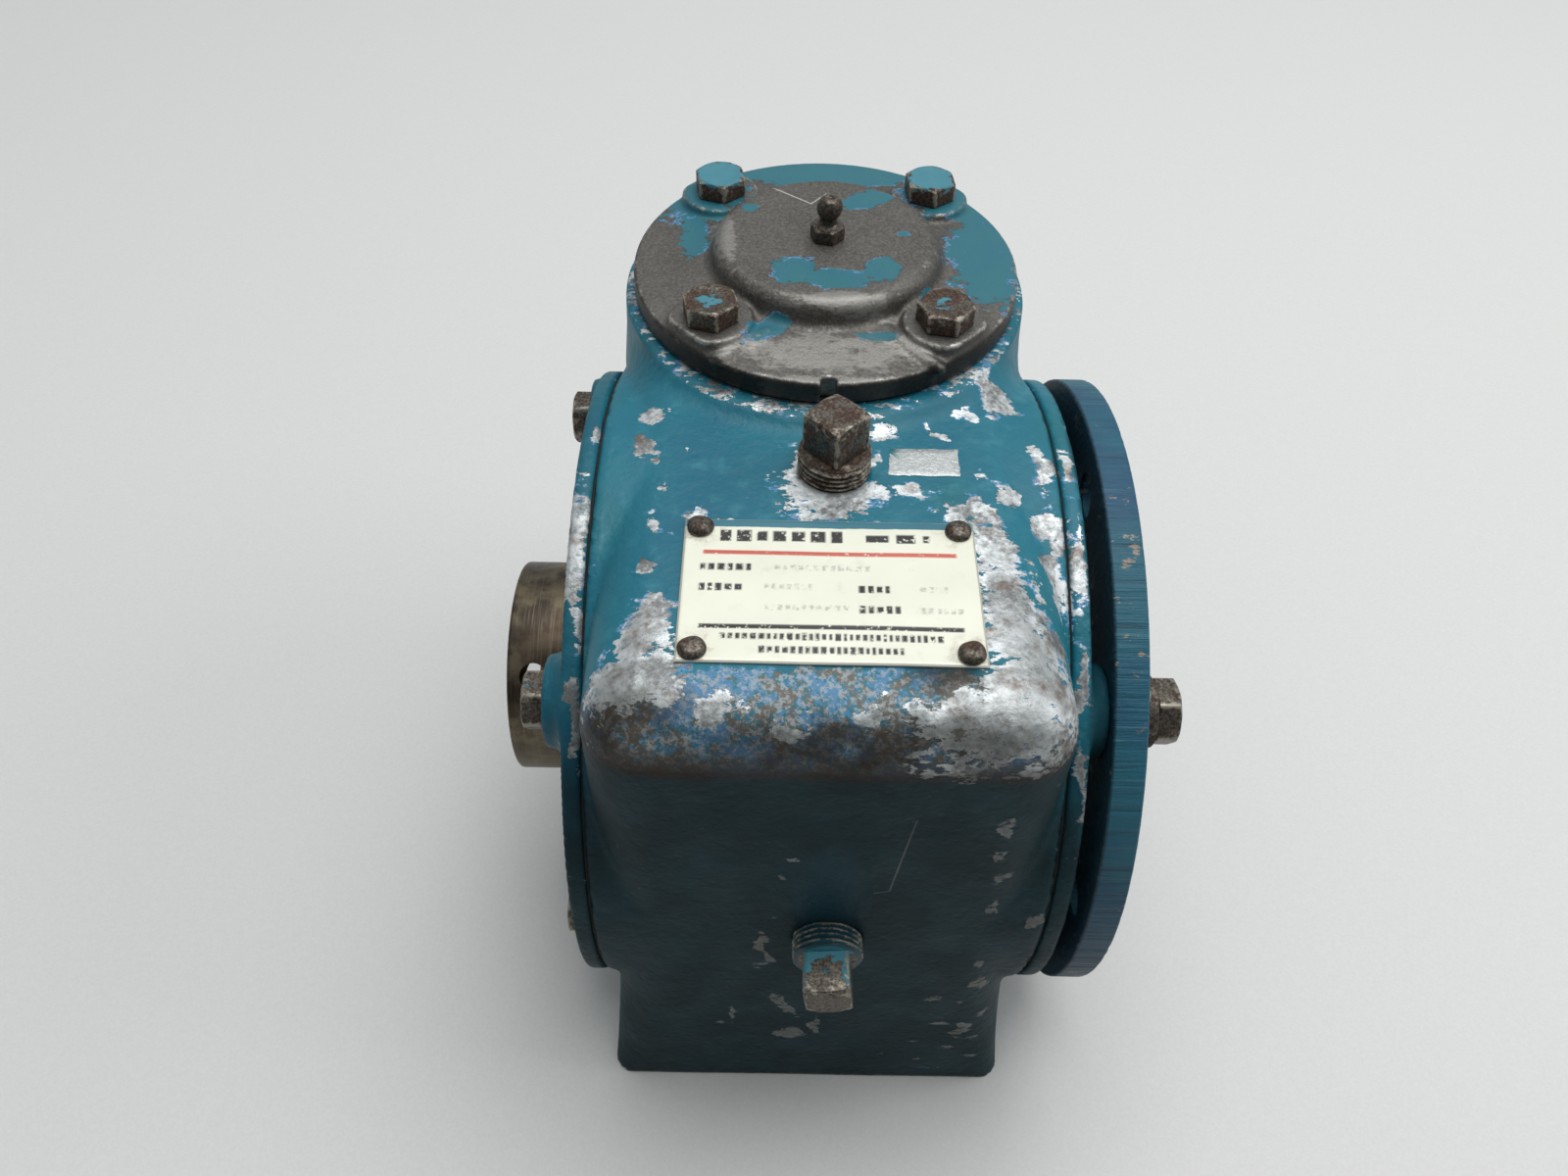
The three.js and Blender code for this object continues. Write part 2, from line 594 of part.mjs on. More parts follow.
function bearingCone(bore, race, narrow, wide) {
  const gap = RUNNING_GAP + 0.1;
  const profile = [[bore, narrow], [race - 1.6 - gap, narrow], [race + 1.6 - gap, wide], [bore, wide]];
  return turned(wide > narrow ? profile : profile.reverse(), BEARING_FACETS);
}

function outputBearing() {
  const race = 34;
  return {
    cup: () => bearingCup(CUP_SEAT_RADIUS, race, CUP_SEAT_END, CUP_SEAT_START),
    cone: () => bearingCone(SHAFT_RADIUS + RUNNING_GAP, race, CUP_SEAT_END, CUP_SEAT_START + FACE_GAP),
  };
}

function upperWormBearing() {
  const race = 21.5;
  return {
    cup: () => bearingCup(UPPER_CUP_RADIUS, race, UPPER_BEARING_TOP, UPPER_BEARING_BOTTOM),
    cone: () => bearingCone(UPPER_SEAT_RADIUS + RUNNING_GAP, race, UPPER_BEARING_TOP, UPPER_BEARING_BOTTOM),
  };
}

function lowerWormBearing() {
  const race = 26;
  const outer = WORM_BORE_RADIUS - RUNNING_GAP;
  return {
    cup: () => bearingCup(outer, race, LOWER_BEARING_BOTTOM + FACE_GAP, LOWER_BEARING_TOP),
    cone: () => bearingCone(
      LOWER_SEAT_RADIUS + RUNNING_GAP, race, LOWER_BEARING_BOTTOM + FACE_GAP, LOWER_BEARING_TOP,
    ),
  };
}

// ---------------------------------------------------------------- gear pair
// Half the thickness of a worm wheel tooth at its root, pitch and tip radii.
const WHEEL_TOOTH = [
  [WHEEL_PITCH_RADIUS - 3.5, 2.85],
  [WHEEL_PITCH_RADIUS, AXIAL_PITCH / 4],
  [WHEEL_PITCH_RADIUS + 2.7, 1.2],
];

function wheelOutline(height, twist) {
  const flank = WHEEL_TOOTH.map(([radius, half]) => [radius, (half - BACKLASH) / radius]);
  const tooth = [
    ...flank.map(([radius, angle]) => [radius, -angle]),
    ...flank.map(([radius, angle]) => [radius, angle]).reverse(),
  ];
  const points = [];
  for (let i = 0; i < WHEEL_TEETH; i += 1) {
    const centre = QUARTER + twist + (i * 2 * Math.PI) / WHEEL_TEETH;
    tooth.forEach(([radius, angle]) => {
      const at = centre + angle;
      points.push(new THREE.Vector3(radius * Math.cos(at), radius * Math.sin(at), height));
    });
  }
  return points;
}

// Bronze rim and hub. Each tooth leans by the worm's lead angle.
function wormWheel() {
  const twistPerLength = MODULE * (WORM_STARTS / 2) / WORM_PITCH_RADIUS / WHEEL_PITCH_RADIUS;
  const rim = loft([-1, 1].map((side) => {
    const height = side * WHEEL_RIM_HALF_WIDTH;
    return wheelOutline(height, height * twistPerLength);
  }));
  const hub = rod(WHEEL_SEAT_RADIUS + 9, -WHEEL_HALF_WIDTH, WHEEL_HALF_WIDTH);
  const bore = rod(WHEEL_SEAT_RADIUS + RUNNING_GAP, -2 * WHEEL_HALF_WIDTH, 2 * WHEEL_HALF_WIDTH);
  const half = WHEEL_KEY_WIDTH / 2 + 0.2;
  const top = WHEEL_SEAT_RADIUS + 4;
  const keyway = block(-top, 0, -half, half, -2 * WHEEL_HALF_WIDTH, 2 * WHEEL_HALF_WIDTH);
  return cut(join(rim, hub), bore, keyway);
}

// Radius of the thread at a distance along the axis from the middle of a ridge.
function threadRadius(distance) {
  const half = AXIAL_PITCH / 4 - BACKLASH;
  const radius = WORM_PITCH_RADIUS + (half - Math.abs(distance)) / PRESSURE_SLOPE;
  return THREE.MathUtils.clamp(radius, WORM_ROOT_RADIUS, WORM_TIP_RADIUS);
}

function wormThread() {
  const half = AXIAL_PITCH / 4 - BACKLASH;
  const tip = half - (WORM_TIP_RADIUS - WORM_PITCH_RADIUS) * PRESSURE_SLOPE;
  const root = half + (WORM_PITCH_RADIUS - WORM_ROOT_RADIUS) * PRESSURE_SLOPE;
  const side = [tip, (tip + root) / 2, root];
  const distances = [...side.map((d) => -d).reverse(), 0, ...side, AXIAL_PITCH / 2];
  const stepsPerTurn = 12;
  const steps = 30;
  const rings = [];
  for (let step = 0; step <= steps; step += 1) {
    const height = (step - steps / 2) * (LEAD / stepsPerTurn);
    const turn = (2 * Math.PI * height) / LEAD;
    const points = [];
    for (let start = 0; start < WORM_STARTS; start += 1) {
      distances.forEach((distance) => {
        const angle = turn + (2 * Math.PI * start) / WORM_STARTS + (2 * Math.PI * distance) / LEAD;
        const radius = threadRadius(distance);
        points.push(new THREE.Vector3(radius * Math.cos(angle), radius * Math.sin(angle), height));
      });
    }
    rings.push(points);
  }
  return loft(rings);
}

function worm() {
  const shaft = turned([
    [0, QUILL_BOTTOM], [LOWER_SEAT_RADIUS, QUILL_BOTTOM], [LOWER_SEAT_RADIUS, LOWER_BEARING_TOP + 0.2],
    [LOWER_SEAT_RADIUS + 4, LOWER_BEARING_TOP + 0.2], [LOWER_SEAT_RADIUS + 4, -48],
    [WORM_ROOT_RADIUS, -42], [WORM_ROOT_RADIUS, -23], [12, -20], [12, 20], [WORM_ROOT_RADIUS, 23],
    [WORM_ROOT_RADIUS, UPPER_BEARING_BOTTOM - 0.2], [UPPER_SEAT_RADIUS, UPPER_BEARING_BOTTOM - 0.2],
    [UPPER_SEAT_RADIUS, UPPER_BEARING_TOP], [0, UPPER_BEARING_TOP],
  ]);
  const bore = rod(QUILL_BORE_RADIUS, QUILL_BOTTOM - 1, QUILL_BORE_TOP, SMALL_FACETS);
  const half = QUILL_KEYWAY_WIDTH / 2;
  const keyway = block(-half, half, -QUILL_BORE_RADIUS - 2.2, 0, QUILL_BOTTOM - 1, QUILL_BORE_TOP - 6);
  const ringSeat = LOWER_BEARING_BOTTOM - SNAP_RING_THICKNESS - FACE_GAP;
  const groove = ring(LOWER_SEAT_RADIUS - 1, LOWER_SEAT_RADIUS + 1, ringSeat, LOWER_BEARING_BOTTOM);
  return cut(join(shaft, wormThread()), bore, keyway, groove);
}

// An open ring with a gap and two ears' worth of room, lying at a height.
function snapRing(inner, outer, from) {
  const whole = ring(inner, outer, from, from + SNAP_RING_THICKNESS);
  return cut(whole, block(-4, 4, 0, 2 * outer, from - 1, from + 2 * SNAP_RING_THICKNESS));
}

function inputSeal() {
  const lip = LOWER_SEAT_RADIUS + RUNNING_GAP;
  const outer = WORM_BORE_RADIUS - RUNNING_GAP;
  return turned([
    [lip + 1, -84], [outer, -84], [outer, -76], [lip + 2, -76], [lip, -80],
  ]);
}

// ---------------------------------------------------------------- worm cap
function capGasket() {
  const from = TURRET_TOP + FACE_GAP;
  const sheet = ring(WORM_BORE_RADIUS + 0.5, CAP_RADIUS - 0.8, from, from + GASKET, LARGE_FACETS);
  const hole = SMALL_BOLT.shank + HOLE_ALLOWANCE;
  return cut(sheet, ...atPlaces(capBoltPlaces, () => rod(hole, from - 1, from + 2, HOLE_FACETS)));
}

function wormCap() {
  const pilot = WORM_BORE_RADIUS - RUNNING_GAP - 0.1;
  const pocket = UPPER_CUP_RADIUS + RUNNING_GAP;
  const body = turned([
    [pocket, 76], [pilot, 76], [pilot, CAP_BOTTOM],
    [CAP_RADIUS, CAP_BOTTOM], [CAP_RADIUS, CAP_RIM_TOP - 1], [CAP_RADIUS - 1, CAP_RIM_TOP],
    [32, CAP_RIM_TOP + 1.8], [30.4, CAP_RIM_TOP + 4], [29.2, CAP_BOSS_TOP - 2],
    [26.6, CAP_BOSS_TOP], [0, CAP_BOSS_TOP], [0, CAP_POCKET_TOP], [pocket, CAP_POCKET_TOP],
  ], LARGE_FACETS);
  const pads = keep(
    join(...atPlaces(capBoltPlaces, () => turned([
      [0, CAP_RIM_TOP - 2], [CAP_PAD_RADIUS + 2, CAP_RIM_TOP - 2], [CAP_PAD_RADIUS + 1.6, CAP_RIM_TOP],
      [CAP_PAD_RADIUS, CAP_PAD_TOP], [0, CAP_PAD_TOP],
    ], SMALL_FACETS))),
    ring(27.5, CAP_RADIUS + 0.4, CAP_BOTTOM, CAP_BOSS_TOP, LARGE_FACETS),
  );
  const hole = SMALL_BOLT.shank + HOLE_ALLOWANCE;
  const holes = atPlaces(capBoltPlaces, () => rod(hole, 80, CAP_PAD_TOP + 1, HOLE_FACETS));
  const spotFaces = atPlaces(capBoltPlaces, () => rod(8.4, CAP_PAD_TOP, CAP_BOSS_TOP, SMALL_FACETS));
  const greaseHole = rod(2.9, 90, 110, HOLE_FACETS);
  const pryNotch = block(-1.8, 1.8, -CAP_RADIUS - 1, -CAP_RADIUS + 3.4, CAP_BOTTOM - 1, CAP_BOTTOM + 4.4);
  return cut(join(body, pads), ...holes, ...spotFaces, greaseHole, pryNotch);
}

function greaseFitting() {
  const seat = CAP_BOSS_TOP + FACE_GAP;
  const stem = turned([
    [0, CAP_POCKET_TOP + 0.5], [2.5, CAP_POCKET_TOP + 0.5], [2.5, seat + 2], [3.6, seat + 3.4],
    [2.3, seat + 5.4], [2.3, seat + 6.4], [3.2, seat + 7.8], [3.3, seat + 9.2], [2.5, seat + 10.8],
    [1.2, seat + 11.6], [0, seat + 11.6],
  ], HOLE_FACETS);
  return join(stem, prism(6, 8, seat, seat + 3.4, 0.3));
}

// ---------------------------------------------------------------- assembly
const gearbox = new THREE.Group();
gearbox.name = 'worm_gearbox';

function add(name, geometry, finish) {
  const mesh = new THREE.Mesh(geometry, new THREE.MeshStandardMaterial(finish));
  mesh.name = name;
  gearbox.add(mesh);
}

function addEach(name, places, build, place, finish) {
  places.forEach((at, index) => add(`${name}_${index + 1}`, place(build(at, index)), finish));
}

const inPlace = (geometry) => geometry;

add('housing', housing(), PAINT);
add('left_cover', onOutputAxisLeft(sideCover(SMALL_BOLT.shank)), PAINT);
add('right_cover', onOutputAxis(sideCover(LARGE_BOLT.shank)), PAINT);
add('left_cover_gasket', onOutputAxisLeft(coverGasket()), GASKET_FIBRE);
add('right_cover_gasket', onOutputAxis(coverGasket()), GASKET_FIBRE);
addEach('left_cover_bolt', coverBoltPlaces, coverBolt, onOutputAxisLeft, RUSTY_STEEL);

add('output_flange', onOutputAxis(outputFlange()), PAINT);
addEach('flange_bolt', coverBoltPlaces, flangeBolt, onOutputAxis, DARK_STEEL);
addEach('flange_bolt_spacer', coverBoltPlaces, flangeSpacer, onOutputAxis, RUSTY_STEEL);

add('worm_cap', onWormAxis(wormCap()), BARE_IRON);
add('worm_cap_gasket', onWormAxis(capGasket()), GASKET_FIBRE);
addEach('cap_bolt', capBoltPlaces, capBolt, onWormAxis, RUSTY_STEEL);
add('grease_fitting', onWormAxis(greaseFitting()), RUSTY_STEEL);

add('filler_plug', fillerPlug(), RUSTY_STEEL);
add('level_plug', levelPlug(), PAINT);
add('nameplate', nameplate(), PLATE_ENAMEL);
addEach('nameplate_rivet', rivetPlaces, rivet, inPlace, RUSTY_STEEL);

const outputRollers = outputBearing();
add('output_shaft', outputShaft(), DARK_STEEL);
add('shaft_collar', shaftCollar(), DARK_STEEL);
add('worm_wheel', onOutputAxis(wormWheel()), BRONZE);
add('wheel_key', wheelKeySlot(0), GROUND_STEEL);
add('left_output_bearing_cup', onOutputAxisLeft(outputRollers.cup()), GROUND_STEEL);
add('right_output_bearing_cup', onOutputAxis(outputRollers.cup()), GROUND_STEEL);
add('left_output_bearing_cone', onOutputAxisLeft(outputRollers.cone()), GROUND_STEEL);
add('right_output_bearing_cone', onOutputAxis(outputRollers.cone()), GROUND_STEEL);
add('left_output_seal', onOutputAxisLeft(outputSeal()), RUBBER);
add('right_output_seal', onOutputAxis(outputSeal()), RUBBER);

const ringHeight = LOWER_BEARING_BOTTOM - SNAP_RING_THICKNESS - FACE_GAP / 2;
add('worm', onWormAxis(worm()), GROUND_STEEL);
add('upper_worm_bearing_cup', onWormAxis(upperWormBearing().cup()), GROUND_STEEL);
add('upper_worm_bearing_cone', onWormAxis(upperWormBearing().cone()), GROUND_STEEL);
add('lower_worm_bearing_cup', onWormAxis(lowerWormBearing().cup()), GROUND_STEEL);
add('lower_worm_bearing_cone', onWormAxis(lowerWormBearing().cone()), GROUND_STEEL);
add('bore_snap_ring', onWormAxis(snapRing(WORM_BORE_RADIUS - 2, WORM_BORE_RADIUS + 1.6, ringHeight)), GROUND_STEEL);
add('worm_snap_ring', onWormAxis(snapRing(LOWER_SEAT_RADIUS - 0.7, LOWER_SEAT_RADIUS + 3, ringHeight)), GROUND_STEEL);
add('input_seal', onWormAxis(inputSeal()), RUBBER);

export default gearbox;
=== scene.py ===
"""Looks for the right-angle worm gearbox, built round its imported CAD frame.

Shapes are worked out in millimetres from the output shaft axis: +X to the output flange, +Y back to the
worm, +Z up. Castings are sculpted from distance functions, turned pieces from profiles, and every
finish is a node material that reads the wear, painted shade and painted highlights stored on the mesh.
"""
import itertools
import math

import bmesh
import bpy
import numpy as np
import openvdb
from mathutils import Matrix, Vector


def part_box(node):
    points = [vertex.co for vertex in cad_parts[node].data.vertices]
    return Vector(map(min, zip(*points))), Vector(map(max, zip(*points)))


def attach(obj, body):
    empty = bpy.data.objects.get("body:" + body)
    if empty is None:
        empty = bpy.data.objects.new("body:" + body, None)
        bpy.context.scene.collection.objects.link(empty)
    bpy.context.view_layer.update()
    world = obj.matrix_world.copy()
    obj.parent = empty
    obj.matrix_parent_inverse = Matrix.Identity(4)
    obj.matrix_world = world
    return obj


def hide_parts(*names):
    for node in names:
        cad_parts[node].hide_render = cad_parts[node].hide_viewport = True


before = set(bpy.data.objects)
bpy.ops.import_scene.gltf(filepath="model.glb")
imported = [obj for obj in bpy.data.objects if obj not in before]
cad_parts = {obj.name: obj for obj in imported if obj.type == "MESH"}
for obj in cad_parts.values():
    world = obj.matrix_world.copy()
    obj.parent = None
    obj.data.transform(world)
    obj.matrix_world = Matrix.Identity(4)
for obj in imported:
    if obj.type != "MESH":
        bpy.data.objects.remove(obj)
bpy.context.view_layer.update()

# ---------------------------------------------------------------- sizes from the frame
MM = 0.001


def axis_height():
    low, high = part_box("output_flange")
    return (low.z + high.z) / 2 / MM


AXIS_HEIGHT = axis_height()


def box(node):
    """Lowest and highest corner of a CAD node, in millimetres from the output shaft axis."""
    low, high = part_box(node)
    shift = Vector((0, 0, AXIS_HEIGHT))
    return low / MM - shift, high / MM - shift


case_low, case_high = box("housing")
flange_low, flange_high = box("output_flange")
cover_high = box("right_cover")[1]
gasket_low = box("right_cover_gasket")[0]
spacer_low, spacer_high = box("flange_bolt_spacer_1")
cap_low, cap_high = box("worm_cap")
cap_gasket_high = box("worm_cap_gasket")[1]
collar_low, collar_high = box("shaft_collar")
shaft_low, shaft_high = box("output_shaft")
plate_low, plate_high = box("nameplate")
filler_low, filler_high = box("filler_plug")
level_low, level_high = box("level_plug")
fitting_low = box("grease_fitting")[0]
seal_low, seal_high = box("right_output_seal")

# the case and its covers
WORM_Y = (cap_low.y + cap_high.y) / 2
TOP = plate_low.z - 0.1  # flat top of the case
FRONT = case_low.y
BASE = case_low.z
TURRET_TOP = case_high.z
CASE_RADIUS = cover_high.z
CASE_FACE = gasket_low.x - 0.1
BOSS_TOP = cover_high.x
BOSS_HEIGHT = 4.7
BOSS_RADIUS = 10.6
COVER_FACE = BOSS_TOP - BOSS_HEIGHT
COVER_BACK = COVER_FACE - 4.3
COVER_HUB_BACK = 30
COVER_HUB_RADIUS = 46
COVER_HOLE_RADIUS = 4.8
BEARING_RADIUS = 40.3
BEARING_FACE = 50.3
BOLT_CIRCLE = 69.85
DIAGONAL = BOLT_CIRCLE / math.sqrt(2)
CHAMBER_RADIUS = 62
WALL = 9
BLOCK_HALF_WIDTH = 52
FOOT_FLARE = case_high.x - BLOCK_HALF_WIDTH
FOOT_TOP = BASE + 46
SHOULDER_RADIUS = 15
FOOT_CORNER = 5
TURRET_RADIUS = 52.8
COLUMN_RADIUS = 54.6
WAVE_SIZE = 9
WAVE_DEPTH = 0.09
# hollows and holes of the case
WORM_BORE_RADIUS = 31.3
WORM_CHAMBER_RADIUS = 43
WORM_CHAMBER_SPAN = (-42, 62)
BASE_MIDDLE_Y = 16.5
BASE_HOLE_X = 36
BASE_HOLE_Y = 78.5
BASE_HOLE_RADIUS = 6
BASE_HOLE_DEPTH = 10
# the output flange, its seal and its spacers
SEAL_RADIUS = seal_high.z
SPACER_RADIUS = (spacer_high.z - spacer_low.z) / 2
FLANGE_RADIUS = flange_high.z
FLANGE_BORE = 50.8
FLANGE_HOLE_RADIUS = 5.1
# the worm cap
CAP_RADIUS = cap_high.x
CAP_TOP = cap_high.z
CAP_BOTTOM = cap_gasket_high.z + 0.1
CAP_RIM_TOP = CAP_BOTTOM + 5.9
CAP_PAD_TOP = box("cap_bolt_1")[1].z - 5.3
CAP_BOLT_OFFSET = 28.8
CAP_PAD_RADIUS = 10.4
CAP_HOLE_RADIUS = 4.1
CAP_BEARING_RADIUS = 26.3
CAP_BEARING_FACE = 94.5
GREASE_HOLE_RADIUS = 2.9
CAP_BOSS_RADII = (31.2, 28.7)  # at its foot and at its top
CAP_RIDGES = (((14.4, -29.9), (27.0, -43.6)), ((-15.2, -32.3), (-26.4, -41.4)))
# the output shaft and its collar
SHAFT_BORE = 18.26
SET_SCREW_X = -74.5
SET_SCREW_RADIUS = 3.6
COLLAR_BORE = 25.3
KEYWAY_HALF_WIDTH = 0.375 * 25.4 / 2
WHEEL_KEY_HALF = (12.2, 4.2)
# the nameplate and the plugs
PLATE_Y = (plate_low.y + plate_high.y) / 2
PLUG_RADIUS = 8.5
PLUG_ROOT = 7.6
PLUG_PITCH = 1.41
PLUG_SQUARE = 11.11
PLUG_HEAD = 10.3
FILLER = Vector(((filler_low.x + filler_high.x) / 2, (filler_low.y + filler_high.y) / 2, TOP))
LEVEL = Vector(((level_low.x + level_high.x) / 2, FRONT, (level_low.z + level_high.z) / 2))

# ---------------------------------------------------------------- numbers and noise
def smoothstep(low, high, value):
    """0 at low and 1 at high, with a smooth change between them."""
    t = np.clip((value - low) / (high - low), 0, 1)
    return t * t * (3 - 2 * t)


def ripple(points, size, seed=0):
    """Smooth seeded waves between about -1 and 1, with bumps of the given size."""
    random = np.random.default_rng(seed)
    total = np.zeros(len(points))
    waves = 7
    for _ in range(waves):
        direction = random.normal(size=3)
        direction /= np.linalg.norm(direction)
        length = size * random.uniform(1.4, 2.8)
        total += np.sin(points @ direction * (2 * np.pi / length) + random.uniform(0, 2 * np.pi))
    return total / math.sqrt(waves)


# ---------------------------------------------------------------- distance functions
def meet(a, b, radius=0.0):
    """Inside both shapes, with the edge between them rounded."""
    over = np.hypot(np.maximum(a + radius, 0), np.maximum(b + radius, 0))
    return np.minimum(np.maximum(a, b), -radius) + over


def merge(a, b, radius=0.0):
    """Inside either shape, with the corner between them filled to a radius."""
    return -meet(-a, -b, radius)


def carve(body, tool, radius=0.0):
    return meet(body, -tool, radius)


def slab(value, low, high):
    """Inside where the value is between low and high."""
    return np.maximum(low - value, value - high)


def rounded_box(point, low, high, radius):
    outside = [slab(value, a + radius, b - radius) for value, a, b in zip(point, low, high)]
    length = np.sqrt(sum(np.maximum(side, 0) ** 2 for side in outside))
    inside = np.minimum(np.maximum.reduce(np.broadcast_arrays(*outside)), 0)
    return length + inside - radius


# ---------------------------------------------------------------- meshes
def to_object(name, points, faces, smooth=True):
    """A mesh object from points in millimetres from the output shaft axis."""
    mesh = bpy.data.meshes.new(f"{name}_look")
    placed = (np.asarray(points, float) + [0, 0, AXIS_HEIGHT]) * MM
    mesh.from_pydata(placed.tolist(), [], faces if isinstance(faces, list) else faces.tolist())
    mesh.polygons.foreach_set("use_smooth", [smooth] * len(mesh.polygons))
    mesh.update()
    piece = bpy.data.objects.new(f"{name}_look", mesh)
    bpy.context.scene.collection.objects.link(piece)
    return piece


def set_fields(piece, fields):
    """Stores one number per vertex for each named field."""
    for name, values in fields.items():
        attribute = piece.data.attributes.new(name, "FLOAT", "POINT")
        attribute.data.foreach_set("value", np.asarray(values, np.float32))


def sharpen(piece, degrees=38):
    """Makes outward normals, and marks edges sharper than the angle."""
    work = bmesh.new()
    work.from_mesh(piece.data)
    bmesh.ops.remove_doubles(work, verts=work.verts, dist=1e-6)
    bmesh.ops.recalc_face_normals(work, faces=work.faces)
    limit = math.radians(degrees)
    for edge in work.edges:
        edge.smooth = len(edge.link_faces) != 2 or edge.calc_face_angle() < limit
    work.to_mesh(piece.data)
    work.free()
    return piece


def slope(shape, points, reach=0.25):
    """The gradient of a distance function at each point."""
    parts = []
    for axis in range(3):
        step = np.zeros(3)
        step[axis] = reach
        ahead, behind = points + step, points - step
        parts.append((shape(*ahead.T) - shape(*behind.T)) / (2 * reach))
    return np.stack(parts, axis=1)


def sculpt(shape, low, high, step):
    """Points and quads on the surface where shape(x, y, z) is zero."""
    start = np.array(low) - 2.5 * step
    spans = [np.arange(a, b + 2.5 * step, step) for a, b in zip(start, high)]
    x, y, z = np.meshgrid(*spans, indexing="ij", sparse=True)
    values = np.broadcast_to(shape(x, y, z), [len(span) for span in spans])
    grid = openvdb.FloatGrid()
    grid.copyFromArray(np.ascontiguousarray(values, dtype=np.float32))
    points, quads = grid.convertToQuads(isovalue=0)
    points = points.astype(float) * step + start
    value = shape(*points.T)
    for _ in range(4):
        gradient = slope(shape, points)
        length = np.maximum((gradient ** 2).sum(1), 0.25)
        move = -(value / length)[:, None] * gradient
        size = np.linalg.norm(move, axis=1, keepdims=True)
        nearer = points + move * np.minimum(1, 0.5 * step / np.maximum(size, 1e-9))
        new_value = shape(*nearer.T)
        better = np.abs(new_value) < np.abs(value)
        points[better] = nearer[better]
        value[better] = new_value[better]
    return points, quads


def edge_field(shape, points, reach=2.0):
    """How sharply the surface turns outward: 0 on a flat face, about 1 on a corner."""
    normal = slope(shape, points)
    normal /= np.maximum(np.linalg.norm(normal, axis=1, keepdims=True), 1e-6)
    helper = np.where(np.abs(normal[:, 2:]) < 0.8, [[0, 0, 1.0]], [[1.0, 0, 0]])
    first = np.cross(normal, helper)
    first /= np.linalg.norm(first, axis=1, keepdims=True)
    second = np.cross(normal, first)
    turns = 8
    total = 0
    for turn in range(turns):
        angle = 2 * np.pi * turn / turns
        offset = (math.cos(angle) * first + math.sin(angle) * second) * reach
        total = total + shape(*(points + offset).T)
    return np.clip(2.5 * total / turns / reach, -1, 1)


def casting(name, shape, low, high, step):
    """A sculpted piece with the wear and painted shade that belong to its place."""
    points, quads = sculpt(shape, low, high, step)
    piece = to_object(name, points, quads)
    set_fields(piece, {"edge": edge_field(shape, points)})
    set_fields(piece, wear_and_shade_fields(points))
    return piece


# ---------------------------------------------------------------- turned pieces
def softened(profile, radius, closed=False, steps=3):
    """The profile with each corner swapped for a short curve."""
    points = [np.array(point, float) for point in profile]
    count = len(points)
    result = []
    for index, corner in enumerate(points):
        if not closed and index in (0, count - 1):
            result.append(corner)
            continue
        start, end = (
            corner + side * min(radius / max(np.linalg.norm(side), 1e-9), 0.4)
            for side in (points[index - 1] - corner, points[(index + 1) % count] - corner)
        )
        for step in range(steps + 1):
            t = step / steps
            result.append((1 - t) ** 2 * start + 2 * t * (1 - t) * corner + t * t * end)
    return result


def rings_to_faces(rows, columns, closed):
    faces = []
    for row in range(rows if closed else rows - 1):
        here, above = row * columns, (row + 1) % rows * columns
        for column in range(columns):
            beside = (column + 1) % columns
            faces.append((here + column, here + beside, above + beside, above + column))
    return faces


def skin(name, rings, place, closed=False, fields=None):
    """A piece from rings of points about local Z. Open rings are closed by a fan at both ends.

    Each of the fields has one number for each ring point.
    """
    rings = np.asarray(rings, float)
    rows, columns = rings.shape[:2]
    points = rings.reshape(-1, 3)
    faces = rings_to_faces(rows, columns, closed)
    if not closed:
        points = np.vstack([points, rings[0].mean(0), rings[-1].mean(0)])
        first, last = rows * columns, (rows - 1) * columns
        for column in range(columns):
            beside = (column + 1) % columns
            faces.append((first, beside, column))
            faces.append((first + 1, last + column, last + beside))
    piece = sharpen(to_object(name, place(points), faces))
    for field, values in (fields or {}).items():
        set_fields(piece, {field: np.append(values, [values[0], values[-1]])})
    return piece


def angles(columns):
    return np.linspace(0, 2 * np.pi, columns, endpoint=False)


def circle_rings(turn, spans):
    """Rings of points about local Z from (radius, height) pairs, each a number or one per angle."""
    sine, cosine = np.sin(turn), np.cos(turn)
    return [np.stack([r * sine, -r * cosine, np.broadcast_to(h, turn.shape)], axis=1) for r, h in spans]


def turned(name, profile, place, closed=False, soft=0.5, columns=128):
    """A solid of revolution about local Z from (radius, height) points."""
    profile = softened([(max(r, 0.01), h) for r, h in profile], soft, closed)
    return skin(name, circle_rings(angles(columns), profile), place, closed)


def polygon_reach(turn, sides, across_flats, phase, corner_cut=0.985):
    """Distance from the middle to the outline of a worn polygon bar."""
    sector = 2 * np.pi / sides
    local = (turn - phase) % sector - sector / 2
    corner = across_flats / 2 / math.cos(sector / 2)
    return np.minimum(across_flats / 2 / np.cos(local), corner * corner_cut)


def head_rings(turn, sides, across_flats, seat, top, phase, cone=0.5, dish=0.25, corner_cut=0.985):
    """Rings up a wrench head whose top corners are turned to a cone."""
    reach = polygon_reach(turn, sides, across_flats, phase, corner_cut)
    flat = 0.475 * across_flats
    side_top = top - np.maximum(0, reach - flat) * cone
    soft = 0.18
    inner = np.full(turn.shape, flat)
    return circle_rings(turn, [
        (inner * 0.98, seat), (reach - soft, seat + 0.02), (reach, seat + soft), (reach, side_top - soft),
        (reach - 0.3 * soft, side_top - 0.35 * soft), (reach - soft, side_top + 0.1 * soft),
        (inner + 0.3 * soft, top - 0.04), (inner - soft, top), (inner * 0.82, top - 0.05),
        (inner * 0.7, top - dish), (inner * 0.35, top - dish),
    ])


